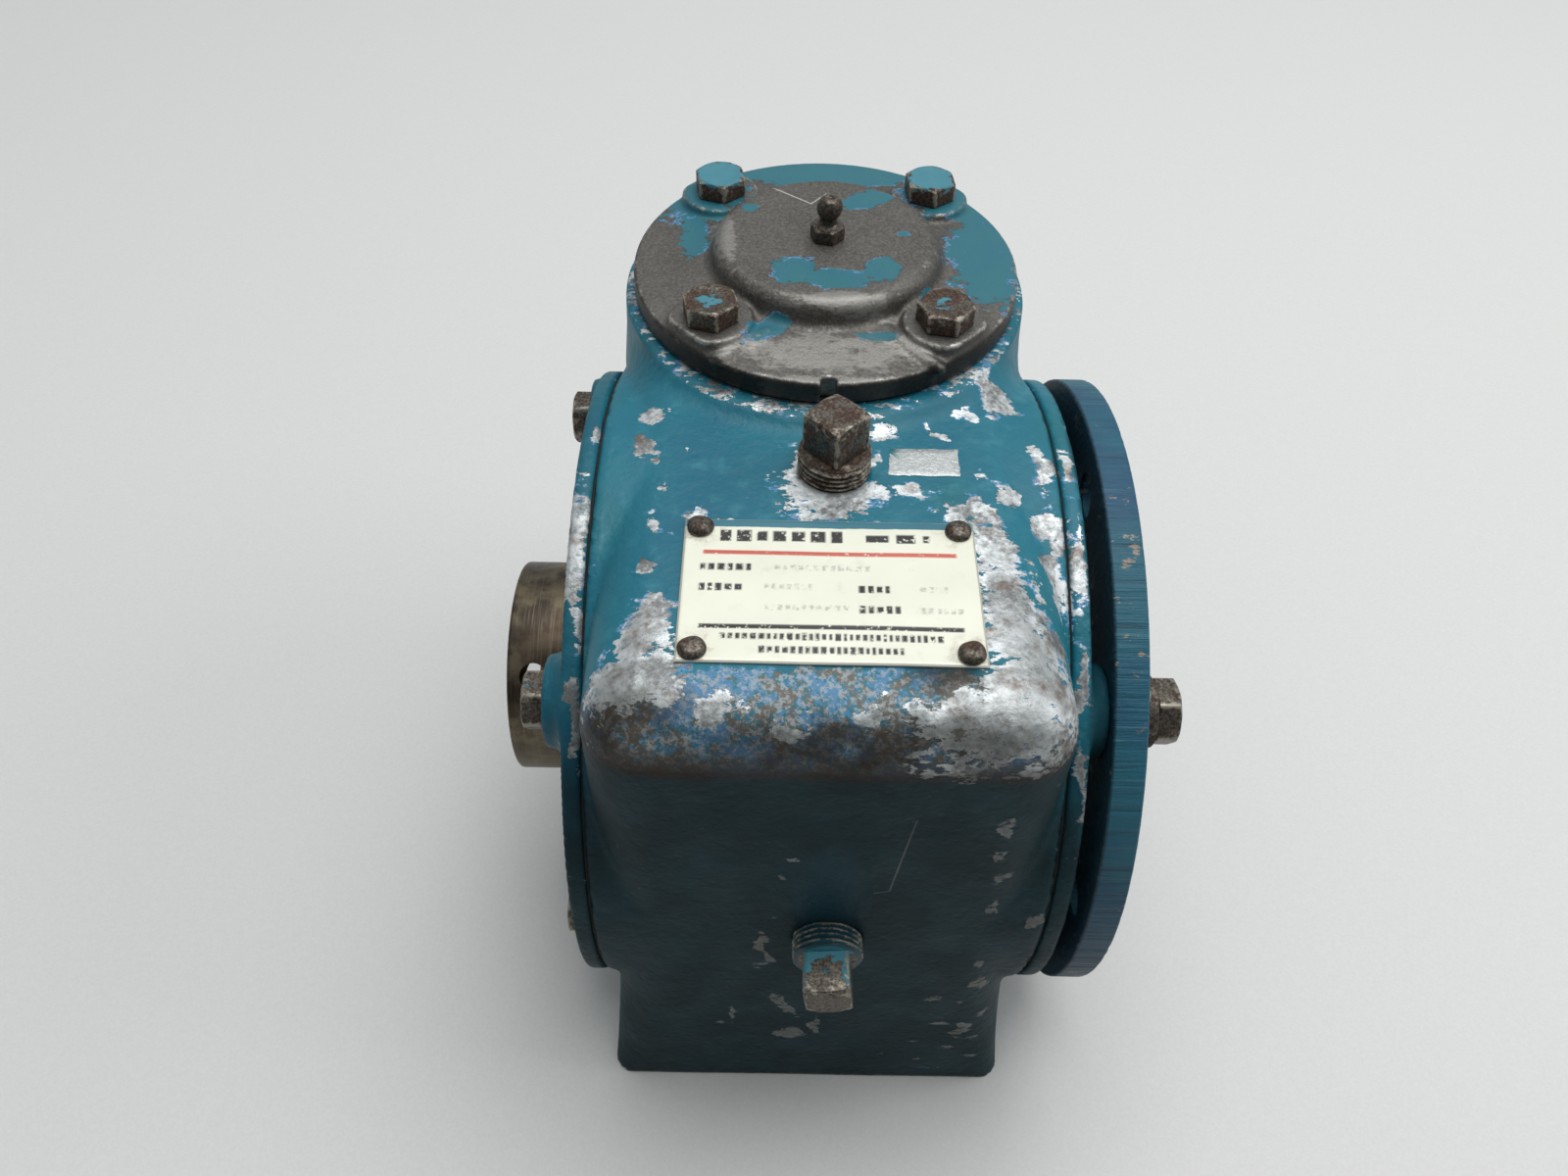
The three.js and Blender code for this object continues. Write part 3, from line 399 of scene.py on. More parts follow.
def head_edges(turn, sides, across_flats, phase):
    """How close each point of head_rings is to a corner or to the top edge of the flats."""
    sector = 2 * np.pi / sides
    local = (turn - phase) % sector - sector / 2
    corner = smoothstep(1.3, 0.2, (sector / 2 - np.abs(local)) * across_flats / 2 / math.cos(sector / 2))
    flat = np.zeros(turn.shape)
    top = np.maximum(corner, 0.7)
    return [flat, corner, corner, top, top, top, 0.6 + flat, 0.4 + flat, flat, flat, flat]


# The next functions take the points of a piece that stands along local Z to where it belongs.
def along_output(points):
    return np.stack([points[:, 2], points[:, 1], -points[:, 0]], axis=1)


def along_output_left(points):
    return np.stack([-points[:, 2], points[:, 1], points[:, 0]], axis=1)


def about_worm(points):
    return points + [0, WORM_Y, 0]


def forward(points):
    return np.stack([points[:, 0], -points[:, 2], points[:, 1]], axis=1)


def upright(points):
    return points


def moved(place, x, y, z=0.0):
    return lambda points: place(points + [x, y, z])


def finish_piece(piece, body, material_slot, material, *nodes):
    """Gives a piece its material and the body it rides, and hides the CAD nodes it stands for."""
    piece.data.materials.append(material)
    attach(piece, body)
    if nodes:
        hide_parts(*nodes)


def cut(piece, tools):
    """Takes the tool meshes away from a piece."""
    for tool in tools:
        modifier = piece.modifiers.new("cut", "BOOLEAN")
        modifier.operation = "DIFFERENCE"
        modifier.solver = "EXACT"
        modifier.object = tool
    evaluated = piece.evaluated_get(bpy.context.evaluated_depsgraph_get())
    result = bpy.data.meshes.new_from_object(evaluated)
    piece.modifiers.clear()
    piece.data = result
    for tool in tools:
        bpy.data.objects.remove(tool)
    return sharpen(piece)


# ---------------------------------------------------------------- wear and painted shade
# Patches on the top face and shoulder: x, y, half length, half width, turn in degrees if any.
TOP_WEAR = [
    (-42, 12.5, 4, 3.4), (-44, 1, 2.6, 5, 10), (-40, -3, 1.8, 1.4), (-32, -2, 1.7, 1.4),
    (-39, -12, 1.5, 1.4), (-40, -21.5, 1.4, 2), (-40, -26, 1.5, 1.4), (-33, -27, 1.8, 1.4),
    (-39, -38, 1.6, 2.4, 30), (-39, -56, 5.5, 9, -25), (-40, -68, 11, 8), (-35, -49, 3, 3),
    (32, -20, 7, 4.6, -12), (40, -14, 2.8, 4.6, 20), (36, -32, 6, 9), (38, -46, 8.5, 11),
    (40, -58, 10.5, 11), (41, -68, 12, 10), (33, -76, 19, 7.5), (50.5, -4, 2.4, 9),
    (48.5, -21, 2.8, 4), (51.5, -30, 2.8, 13), (-7, -6, 1.8, 7), (0.5, -15, 12.5, 8.6),
    (13.5, 6, 2.8, 2.4), (10.5, -4, 1.6, 2.6), (18, -13, 5, 1.6), (32, 15, 3.2, 1.8),
    (36, 12, 1.6, 1.4), (41, 13.5, 2, 1.6), (43.5, 16, 1.7, 1.6), (36, -7.5, 1.6, 1.6),
    (42, 21, 3.6, 6, 30), (28, 6, 1.4, 1.2), (24, 8, 1.6, 1), (-29, -24, 4.5, 2.2),
    (-22, -24.2, 5, 0.8), (-10, -77, 5, 2), (6, -75, 4, 2.2), (-24, -74, 6, 3),
]
# Patches on the front face: x, z, half length, half height, turn in degrees if any.
FRONT_WEAR = [
    (-13, -4, 1.2, 14), (-12, 45, 1.5, 1.2), (-10, 29, 1.3, 1), (-6, 37, 1.1, 1),
    (39, 52, 1.4, 5), (38, 40, 1.2, 3), (40, 30, 1.6, 2.6), (41, 16, 1.5, 4),
    (51, 8.5, 1.3, 3.6), (40, -13, 1.3, 2), (43, -26, 1.6, 4), (30, -33, 2.6, 1.2),
    (39, -35, 1.4, 1.2), (40, -52, 1.3, 7), (32, -72, 1.6, 1), (45, -70, 1.6, 1.2),
    (-24, -50, 1.2, 1.3), (-21, -45, 1.1, 5), (-7, -38, 1.6, 7.5, 25), (-5.5, -56, 3.5, 3.4, 20),
    (1.5, -50, 1.1, 7), (35, -48, 4, 0.8), (44, -58, 4.5, 0.8), (38, -64, 5, 0.7),
    (30, -60, 3.5, 0.6), (47, -46, 3, 0.8), (34, -78, 6, 0.7), (20, -70, 4, 0.6),
]
# Patches on the round rims of the side covers: x, y, half length, half width, turn in degrees if any.
RIM_WEAR = [
    (-56.4, -30, 2.4, 17), (56.4, -30, 1.8, 11), (-56, -60, 1.6, 6), (56.6, -52, 1.2, 6),
    (56.2, -4, 1.3, 5), (56.8, -68, 1.4, 5), (-55.5, 6, 1.2, 4),
]
GRIMY_PATCHES = [(-42, -75, 12, 5), (10, -79, 40, 3), (2, -12, 4, 3), (24, -66, 8, 4)]


def patches(across, along, table):
    """1 in the middle of a patch, a half on its edge and 0 outside."""
    total = np.zeros(across.shape)
    for middle_a, middle_b, half_a, half_b, *turn in table:
        angle = math.radians(turn[0]) if turn else 0.0
        c, s = math.cos(angle), math.sin(angle)
        a, b = across - middle_a, along - middle_b
        reach = np.hypot((a * c + b * s) / half_a, (b * c - a * s) / half_b)
        total = np.maximum(total, np.clip(1.5 - reach, 0, 1))
    return total


def wear_and_shade_fields(points):
    """Bare metal, grimy darkening and painted shade, a dark streak and scuffs on the painted castings, from
    where a point is.
    """
    waves = [ripple(points, 3.5, 1), ripple(points, 3.5, 2), np.zeros(len(points))]
    x, y, z = (points + 1.3 * np.stack(waves, axis=1)).T
    on_top = smoothstep(66, 72, z) * smoothstep(36, 30, y)
    on_front = smoothstep(-70, -76, y) * smoothstep(70, 62, z)
    across = points[:, 0]
    radius = np.hypot(points[:, 1], points[:, 2])
    on_rim = smoothstep(CASE_FACE, CASE_FACE + 0.5, np.abs(across)) * smoothstep(-10, 10, z)
    on_rim = on_rim * smoothstep(CASE_RADIUS - 4, CASE_RADIUS - 2, radius)
    bare = np.maximum.reduce([
        patches(x, y, TOP_WEAR) * on_top,
        patches(x, z, FRONT_WEAR) * on_front,
        patches(x, y, RIM_WEAR) * on_rim,
    ])
    streak = patches(x, z, [(1.5, 24, 7, 14)]) * on_front
    # the front face: grimy darkening, partly real and partly painted shade
    grime_and_shade = smoothstep(76, 69, z) * smoothstep(-50, -78, y) * (1 - 0.2 * streak)
    # darker towards the bottom of the case
    grime_and_shade = np.maximum(grime_and_shade, 0.6 * smoothstep(50, -30, z))
    # painted shade on the right cover's outer face, behind the output flange
    grime_and_shade = np.maximum(grime_and_shade, 0.8 * smoothstep(COVER_FACE - 0.6, COVER_FACE - 0.1, across))
    # painted shade on the left cover, darker low down
    left_cover_shade = 0.3 + 0.4 * smoothstep(62, 10, z)
    grime_and_shade = np.maximum(grime_and_shade, left_cover_shade * smoothstep(COVER_BACK - 1, COVER_BACK, -across))
    grime_and_shade = np.maximum(grime_and_shade, 0.9 * patches(x, y, GRIMY_PATCHES) * on_top)
    shoulder = smoothstep(-62, -69, y) * smoothstep(66.5, 71, z) * smoothstep(54, 50, np.abs(x))
    return {"bare": bare, "grime_and_shade": grime_and_shade, "streak": streak, "scuffed": shoulder}


# ---------------------------------------------------------------- castings
def outside_case(x, y, z):
    """The drum for the wheel, the square block under it, the worm's column and the flared foot."""
    drum = meet(np.hypot(y, z) - CASE_RADIUS, np.abs(x) - CASE_FACE, 0.7)
    low = (-BLOCK_HALF_WIDTH, FRONT, BASE - 3 * SHOULDER_RADIUS)
    block = rounded_box((x, y, z), low, (BLOCK_HALF_WIDTH, WORM_Y, TOP), SHOULDER_RADIUS)
    worm_radius = np.hypot(x, y - WORM_Y)
    column_radius = np.interp(z, (62, 76, 86), (COLUMN_RADIUS, TURRET_RADIUS + 0.5, TURRET_RADIUS))
    share = np.clip((FOOT_TOP - z) / (FOOT_TOP - BASE), 0, 1)
    half = BLOCK_HALF_WIDTH + FOOT_FLARE * share ** 1.4
    corner = FOOT_CORNER + (SHOULDER_RADIUS - FOOT_CORNER) * (1 - share)
    sheet = meet(np.abs(x) - half, slab(y, FRONT, WORM_Y), corner)
    foot = meet(np.minimum(sheet, worm_radius - half), z - FOOT_TOP - 6, 4)
    radius = np.hypot(y, z)
    facing = np.maximum(np.maximum(z, -y), 0) / np.maximum(radius, 1)
    body = merge(drum, block, 5.2 - 5 * facing ** 4)
    facing = np.abs(x) / np.maximum(worm_radius, 1)
    body = merge(body, worm_radius - column_radius, 7 - 5.5 * np.minimum(facing, 1) ** 4)
    body = np.minimum(meet(body, z - TURRET_TOP, 0.9), foot)
    return meet(body, BASE - z, 0.8)


def housing_shape(x, y, z):
    """The outside with its flat cover faces cut and its hollows and holes taken out."""
    relief = meet(slab(np.abs(x), CASE_FACE, 80), np.hypot(y, z) - CASE_RADIUS - 0.6)
    body = carve(outside_case(x, y, z), relief)
    chamber = np.hypot(y, z) - CHAMBER_RADIUS
    half = BLOCK_HALF_WIDTH - WALL
    low, high = (-half, FRONT + WALL, BASE + 1.5 * WALL), (half, WALL, TOP - WALL)
    sump = rounded_box((x, y, z), low, high, 3)
    worm_radius = np.hypot(x, y - WORM_Y)
    core = meet(worm_radius - WORM_CHAMBER_RADIUS, slab(z, *WORM_CHAMBER_SPAN))
    bore = worm_radius - WORM_BORE_RADIUS
    plug = np.hypot(x - FILLER.x, y - FILLER.y) - PLUG_ROOT
    filler = meet(plug, TOP - WALL - 1 - z)
    level = meet(np.hypot(x - LEVEL.x, z - LEVEL.z) - PLUG_ROOT, y - FRONT - WALL - 1)
    from_hole = np.hypot(np.abs(x) - BASE_HOLE_X, np.abs(y - BASE_MIDDLE_Y) - BASE_HOLE_Y)
    base_holes = meet(from_hole - BASE_HOLE_RADIUS, z - BASE - BASE_HOLE_DEPTH)
    for cavity in (chamber, sump, core, bore, filler, level, base_holes):
        body = carve(body, cavity, 0.5)
    return body


def left_cover_shape(x, y, z):
    return cover_shape(-x, y, z)


def cover_shape(x, y, z):
    """The right cover. The left one is its mirror image."""
    radius = np.hypot(y, z)
    disc = meet(radius - CASE_RADIUS, slab(x, COVER_BACK, COVER_FACE), 0.9)
    spigot = meet(radius - CHAMBER_RADIUS + 0.4, slab(x, COVER_BACK - 8, COVER_FACE - 1))
    hub = meet(radius - COVER_HUB_RADIUS, slab(x, COVER_HUB_BACK, COVER_FACE - 1), 0.6)
    from_bolt = np.hypot(np.abs(y) - DIAGONAL, np.abs(z) - DIAGONAL)
    draft = 0.12 * (BOSS_TOP - x)
    boss = meet(from_bolt - BOSS_RADIUS - draft, slab(x, COVER_BACK + 1, BOSS_TOP), 0.8)
    body = np.minimum(np.minimum(disc, spigot), hub)
    body = merge(body, boss, 3.4)
    body = meet(body, radius - CASE_RADIUS, 0.8)
    body = carve(body, radius - SEAL_RADIUS - 0.2, 0.5)
    body = carve(body, meet(radius - BEARING_RADIUS, x - BEARING_FACE))
    recess = meet(slab(radius, COVER_HUB_RADIUS, CHAMBER_RADIUS - 6), x - COVER_BACK + 2.5)
    return carve(carve(body, recess, 0.5), from_bolt - COVER_HOLE_RADIUS)


def ridge(x, y, z, start, end, radius):
    """A round bar lying between two points of the level z = 0."""
    run = np.subtract(end, start)
    share = np.clip(((x - start[0]) * run[0] + (y - start[1]) * run[1]) / (run @ run), 0, 1)
    gap = np.hypot(x - start[0] - share * run[0], y - start[1] - share * run[1])
    return np.hypot(gap, z) - radius


def cap_shape(x, y, z):
    v = y - WORM_Y
    radius = np.hypot(x, v)
    roof = CAP_RIM_TOP + np.interp(radius, [31, CAP_RADIUS], [1.5, 0.0])
    flange = meet(radius - CAP_RADIUS, slab(z, CAP_BOTTOM, roof), 0.9)
    for start, end in CAP_RIDGES:
        flange = merge(flange, ridge(x, v, z - CAP_RIM_TOP, start, end, 1.4), 1.8)
    from_bolt = np.hypot(np.abs(x) - CAP_BOLT_OFFSET, np.abs(v) - CAP_BOLT_OFFSET)
    draft = 0.16 * (CAP_PAD_TOP - z)
    pad = meet(from_bolt - CAP_PAD_RADIUS - draft, slab(z, CAP_BOTTOM, CAP_PAD_TOP), 0.9)
    pad = meet(pad, radius - CAP_RADIUS + 0.9, 0.8)
    boss_radius = np.interp(z, (CAP_RIM_TOP, CAP_TOP), CAP_BOSS_RADII)
    boss = meet(radius - boss_radius, slab(z, CAP_BOTTOM, CAP_TOP), 2.6)
    body = merge(merge(flange, pad, 1.2), boss, 1.6)
    pilot = meet(radius - WORM_BORE_RADIUS + 0.4, slab(z, cap_low.z, CAP_BOTTOM + 1), 0.5)
    body = np.minimum(body, pilot)
    body = carve(body, meet(radius - CAP_BEARING_RADIUS, z - CAP_BEARING_FACE), 0.4)
    body = carve(body, from_bolt - CAP_HOLE_RADIUS)
    low, high = (-1.9, -CAP_RADIUS - 4, CAP_BOTTOM - 3), (2.1, 2.6 - CAP_RADIUS, CAP_TOP + 10)
    notch = rounded_box((x, v, z), low, high, 0.6)
    grease_hole = meet(radius - GREASE_HOLE_RADIUS, 90 - z)
    return carve(carve(body, notch, 0.5), grease_hole)


def waved_housing(x, y, z):
    """The housing with the gentle waves that a sand mould leaves."""
    u, v, w = x / WAVE_SIZE, y / WAVE_SIZE, z / WAVE_SIZE
    waves = np.sin(u + 0.7) * np.sin(1.3 * v + 1.1) * np.sin(0.9 * w + 2.3)
    waves = waves + np.sin(0.7 * (u + 0.6 * v) + 1) * np.sin(1.1 * (w - 0.4 * u))
    return housing_shape(x, y, z) + WAVE_DEPTH * waves


def build_castings(step):
    housing = casting("case_casting", waved_housing, case_low, case_high, step)
    finish_piece(housing, "case", "blue_paint", worn_paint("case_paint"), "housing")
    inner, outer = COVER_HUB_BACK - 1, BOSS_TOP
    for side, shape, x_from, x_to in (
        ("right", cover_shape, inner, outer), ("left", left_cover_shape, -outer, -inner),
    ):
        low, high = (x_from, -CASE_RADIUS, -CASE_RADIUS), (x_to, CASE_RADIUS, CASE_RADIUS)
        cover = casting(f"{side}_cover_casting", shape, low, high, step * 0.75)
        finish_piece(cover, "case", "blue_paint", worn_paint(f"{side}_cover_paint"), f"{side}_cover")
    points, quads = sculpt(cap_shape, cap_low, cap_high, step * 0.5)
    cap = to_object("worm_cap_casting", points, quads)
    set_fields(cap, {"edge": edge_field(cap_shape, points, 1.2)})
    set_fields(cap, cap_fields(points))
    finish_piece(cap, "case", "bare_iron", cap_iron(), "worm_cap")


# Paint left on the worm cap: x, y from the worm axis, half length, half width, turn in degrees.
CAP_BOSS_PAINT = [
    (-9, -15, 7, 6, 20), (2, -18.5, 10, 4.6), (14, -14, 5, 6, -30), (11, 18, 9, 4.4, 25),
    (-20, 13, 2.8, 2.2), (-22, 20, 5, 3, 30), (20, 2, 2, 1.3),
]
CAP_FLANGE_PAINT = [
    (42, 3, 11, 26), (-35, 10, 4.5, 12), (-15, -31, 8, 3.2, 35), (0, 44, 36, 10),
    (34, 30, 15, 14), (-34, 28, 14, 13), (26, -18, 5, 3, 40), (12, -33, 6, 1.6),
]
# Bright patches on the worm cap, partly rubbed metal and partly painted highlight: x, y from the worm axis,
# half length, half width, turn in degrees if any.
CAP_RUB_AND_HIGHLIGHT = [
    (-27, 2, 3.4, 17, 8), (2, -26.5, 17, 3), (0, -49, 28, 2.4), (0, -39, 24, 8),
    (-23, -38, 8, 2, 40), (22, -38, 8, 2, -48),
]


def cap_fields(points):
    """Paint left on the worm cap, bright patches that are partly rubbed metal and partly painted highlight,
    and a darker band round its rim.
    """
    x, y, z = points.T
    v = y - WORM_Y
    radius = np.hypot(x, v)
    on_boss = smoothstep(CAP_TOP - 5, CAP_TOP - 2, z)
    paint = np.maximum(
        patches(x, v, CAP_BOSS_PAINT) * on_boss,
        patches(x, v, CAP_FLANGE_PAINT) * (1 - on_boss) * smoothstep(CAP_RIM_TOP - 2, CAP_RIM_TOP - 1, z),
    )
    rim = smoothstep(CAP_RADIUS - 0.8, CAP_RADIUS - 0.2, radius)
    return {"paint": paint, "rub_and_highlight": patches(x, v, CAP_RUB_AND_HIGHLIGHT), "grime_and_shade": rim * smoothstep(0.9, 0.3, paint)}


# ---------------------------------------------------------------- fasteners
SMALL_BOLT = {"shank": 3.9, "across": 12.7, "head": 5.2}
LARGE_BOLT = {"shank": 4.7, "across": 14.29, "head": 5.4}
SIDE_BOLT_END = 45
CAP_BOLT_END = 68
BOLT_COLUMNS = 96


def roughen(points, amount, size, seed):
    """Small dents, so that forged and rusted faces aren't perfectly flat."""
    shift = np.stack([ripple(points, size, seed + axis) for axis in range(3)], axis=1)
    return points + amount * shift


def hex_bolt(name, slot, material, place, sizes, seat, end, phase, paint, seed, side_paint=0.0):
    """A hexagon head bolt with some paint left on top of its head and on its +X flats."""
    turn = angles(BOLT_COLUMNS)
    shank = sizes["shank"]
    rings = circle_rings(turn, [(shank - 1.2, end), (shank, end + 1.2), (shank, seat)])
    rings += head_rings(turn, 6, sizes["across"], seat, seat + sizes["head"], phase)
    shaped = [roughen(ring, 0.035, 2.2, seed) for ring in rings]
    edges = [np.zeros(BOLT_COLUMNS)] * 3 + head_edges(turn, 6, sizes["across"], phase)
    local = np.vstack(shaped)
    on_top = smoothstep(seat + sizes["head"] - 1.1, seat + sizes["head"] - 0.4, local[:, 2])
    spread = smoothstep(1.05, 0.35, np.hypot(local[:, 0], local[:, 1]) / (0.5 * sizes["across"]))
    left = on_top * np.clip(paint + 0.7 * (spread - 0.5), 0, 1)
    left = np.maximum(left, side_paint * smoothstep(3, 5, local[:, 0]))
    piece = skin(name, shaped, place, fields={"paint": left, "edge": np.concatenate(edges)})
    finish_piece(piece, "case", slot, material, name)


def build_bolts():
    corners = [(1, 1), (-1, 1), (-1, -1), (1, -1)]
    cap_phase = [0.12, 0.19, 0.23, 0.36]
    cap_paint = [0.95, 0.95, 0.3, 0.22]
    cover_bolt = worn_steel("cover_bolt_steel", rust=0.35, paint_rim=True)
    cap_bolt = worn_steel("cap_bolt_steel", rust=0.75, paint_rim=True)
    flange_bolt = worn_steel("flange_bolt_steel", rust=0.3, paint_rim=False)
    washer = worn_steel("spacer_steel", rust=0.55, paint_rim=False)
    for index, (a, b) in enumerate(corners):
        number = index + 1
        x, y = a * DIAGONAL, b * DIAGONAL
        hex_bolt(
            f"left_cover_bolt_{number}", "rusty_steel", cover_bolt,
            moved(along_output_left, x, y), SMALL_BOLT,
            seat=BOSS_TOP + 0.1, end=SIDE_BOLT_END, phase=0.0, paint=0.6, seed=10 + index, side_paint=0.42,
        )
        hex_bolt(
            f"flange_bolt_{number}", "dark_steel", flange_bolt,
            moved(along_output, x, y), LARGE_BOLT,
            seat=spacer_high.x + 0.1, end=SIDE_BOLT_END, phase=-0.03, paint=0.0, seed=20 + index,
        )
        node = f"flange_bolt_spacer_{number}"
        profile = tube(FLANGE_HOLE_RADIUS, SPACER_RADIUS, spacer_low.x, spacer_high.x)
        spacer = turned(node, profile, moved(along_output, x, y), closed=True, soft=0.6, columns=64)
        finish_piece(spacer, "case", "rusty_steel", washer, node)
        hex_bolt(
            f"cap_bolt_{number}", "rusty_steel", cap_bolt,
            moved(about_worm, a * CAP_BOLT_OFFSET, b * CAP_BOLT_OFFSET), SMALL_BOLT,
            seat=CAP_PAD_TOP + 0.1, end=CAP_BOLT_END, phase=cap_phase[index],
            paint=cap_paint[index], seed=30 + index,
        )


def pipe_plug(name, place, slot, material, exposed, phase, paint, seed):
    """A square-headed plug with a real helical thread."""
    turn = angles(BOLT_COLUMNS)
    bottom, top = -8.0, exposed + PLUG_HEAD
    heights = np.arange(bottom, exposed - 0.6, PLUG_PITCH / 8)
    rings = circle_rings(turn, [(PLUG_ROOT - 1, bottom - 0.2)])
    edges = [np.zeros(BOLT_COLUMNS)]
    for height in heights:
        wave = (height / PLUG_PITCH + turn / (2 * np.pi)) % 1
        crest = smoothstep(0.0, 0.42, wave) * smoothstep(0.98, 0.56, wave)
        taper = 0.35 * (height - bottom) / (exposed - bottom) - 0.3
        reach = PLUG_ROOT + taper + (PLUG_RADIUS - PLUG_ROOT) * crest
        edges.append(0.9 * crest)
        rings += circle_rings(turn, [(reach, height)])
    rings += circle_rings(turn, [(PLUG_ROOT - 0.1, exposed - 0.5), (PLUG_ROOT - 0.7, exposed - 0.1)])
    rings += head_rings(turn, 4, PLUG_SQUARE, exposed, top, phase, cone=0.35, dish=0.05, corner_cut=0.965)[1:]
    shaped = [roughen(ring, 0.05, 2.6, seed) for ring in rings]
    head = head_edges(turn, 4, PLUG_SQUARE, phase)[1:]
    edges += [np.zeros(BOLT_COLUMNS)] * (len(rings) - len(edges) - len(head)) + head
    local = np.vstack(shaped)
    above = smoothstep(1.5, 4.5, local[:, 1])
    on_thread = smoothstep(exposed, exposed - 0.5, local[:, 2])
    left = np.maximum(paint * above * smoothstep(top, top - 1.5, local[:, 2]), 1.4 * paint * on_thread)
    fields = {"paint": left, "thread": on_thread, "edge": np.concatenate(edges)}
    finish_piece(skin(name, shaped, place, fields=fields), "case", slot, material, name)


def build_plugs():
    bare_steel = worn_steel("filler_plug_steel", rust=0.6, paint_rim=False)
    pipe_plug(
        "filler_plug", moved(upright, FILLER.x, FILLER.y, TOP), "rusty_steel", bare_steel,
        exposed=filler_high.z - TOP - PLUG_HEAD, phase=0.0, paint=0.0, seed=40,
    )
    painted_steel = worn_steel("level_plug_steel", rust=0.25, paint_rim=True)
    pipe_plug(
        "level_plug", moved(forward, LEVEL.x, LEVEL.z, -FRONT), "blue_paint", painted_steel,
        exposed=FRONT - level_low.y - PLUG_HEAD, phase=math.pi / 4 + 0.12, paint=0.8, seed=50,
    )


def grease_fitting():
    seat = CAP_TOP + 0.1
    turn = angles(72)
    rings = circle_rings(turn, [(2.5, fitting_low.z), (2.5, seat)])
    rings += head_rings(turn, 6, 8, seat, seat + 3.6, 0.3, cone=0.6, dish=0.0)[:7]
    profile = softened([
        (3.2, seat + 3.6), (2.3, seat + 4.3), (2.2, seat + 5.8), (2.9, seat + 6.9), (3.3, seat + 8.2),
        (3.2, seat + 9.7), (2.5, seat + 11), (1.1, seat + 11.5), (0.8, seat + 11.1), (0.3, seat + 11.0),
    ], 0.4)
    rings += circle_rings(turn, profile)
    lean = np.array([0.05, -0.02])
    shaped = []
    for ring in rings:
        ring = roughen(ring, 0.05, 2.0, 60)
        ring[:, :2] += np.maximum(ring[:, 2:] - seat - 2, 0) * lean
        shaped.append(ring)
    piece = skin("grease_fitting", shaped, about_worm)
    steel = worn_steel("fitting_steel", rust=0.45, paint_rim=False)
    finish_piece(piece, "case", "rusty_steel", steel, "grease_fitting")


# ---------------------------------------------------------------- nameplate
RED_RULE_Y = -34
BLACK_RULE_Y = -55
# Bars that stand for printed lines: x from, x to, y, height, longest dash.
PRINT_BARS = [
    (-24, 3.5, -29, 3.8, 3.6), (8, 22, -29.4, 2.6, 5.2), (-28, -17, -38.4, 2.2, 1.6),
    (-28, -18, -44.2, 2.2, 1.6), (6, 13, -44.2, 2.2, 1.6), (6, 15, -50, 2.2, 1.6),
    (-23, 23, -57.6, 2, 1.25), (-15, 15, -61.1, 2, 1.25),
]
STAMPED_BARS = [
    (-12, 9, -38.2, 1.7, 1.4), (-14, -4, -43.8, 1.7, 1.4), (-14, 4, -49.6, 1.7, 1.4),
    (19, 26, -44, 1.7, 1.4), (19, 28, -50, 1.7, 1.4),
]


def dashes(x, y, bars, seed):
    """Rows of dashes with uneven lengths: 1 on a dash, 0 between."""
    random = np.random.default_rng(seed)
    total = np.zeros(x.shape)
    for start, end, middle, height, longest in bars:
        at = start
        while at < end - 0.6:
            length = longest * random.uniform(0.55, 1.0)
            lift = random.uniform(0.75, 1.0)
            inside = slab(x, at, min(at + length, end))
            row = np.abs(y - middle) - height * lift / 2
            total = np.maximum(total, smoothstep(0.16, -0.16, np.maximum(inside, row)))
            at += length + 0.3 * longest + 0.15
    return total


def rule(x, y, middle):
    """1 on a thin printed line across the plate."""
    return smoothstep(0.12, -0.12, np.maximum(np.abs(y - middle) - 0.575, np.abs(x) - 27.5))


def nameplate():
    step = 0.3
    low, high = plate_low, plate_high
    thickness = high.z - low.z
    xs = np.linspace(low.x, high.x, int((high.x - low.x) / step))
    ys = np.linspace(low.y, high.y, int((high.y - low.y) / step))
    x, y = [grid.ravel() for grid in np.meshgrid(xs, ys, indexing="ij")]
    border = np.minimum(high.x - np.abs(x), (high.y - low.y) / 2 - np.abs(y - PLATE_Y))
    flat = np.stack([x, y, np.zeros(len(x))], axis=1)
    z = high.z - 0.14 - 0.3 * smoothstep(0.5, 0.0, border) + 0.1 * ripple(flat, 12, 70)
    rows, columns = len(xs), len(ys)
    top = np.stack([x, y, z], axis=1)
    index = np.arange(rows * columns).reshape(rows, columns)
    quads = np.stack([index[:-1, :-1], index[1:, :-1], index[1:, 1:], index[:-1, 1:]], axis=-1)
    faces = quads.reshape(-1, 4).tolist()
    loop = np.concatenate([index[:-1, 0], index[-1, :-1], index[:0:-1, -1], index[0, :0:-1]])
    below = top[loop] - [0, 0, thickness - 0.4]
    first = len(top)
    count = len(loop)
    edge = loop.tolist()
    for i in range(count):
        j = (i + 1) % count
        faces.append((edge[j], edge[i], first + i, first + j))
    faces.append(tuple(first + i for i in reversed(range(count))))
    piece = to_object("nameplate", np.vstack([top, below]), faces)
    from_rivet = np.hypot(np.abs(x) - 28.5, np.abs(y - PLATE_Y) - 17.3)
    fields = {
        "red": rule(x, y, RED_RULE_Y),
        "ink": np.maximum(rule(x, y, BLACK_RULE_Y), dashes(x, y, PRINT_BARS, 71)),
        "stamp": dashes(x, y, STAMPED_BARS, 72),
        "stain": smoothstep(7, 2.5, from_rivet),
        "overpaint": smoothstep(high.y - 3.6, high.y - 1.6, y),
        "border": smoothstep(1.2, 0.1, border),
    }
    for field, values in fields.items():
        below_values = np.full(count, float(field == "border"))
        set_fields(piece, {field: np.append(values, below_values)})
    finish_piece(sharpen(piece, 50), "case", "plate_enamel", plate_enamel(), "nameplate")


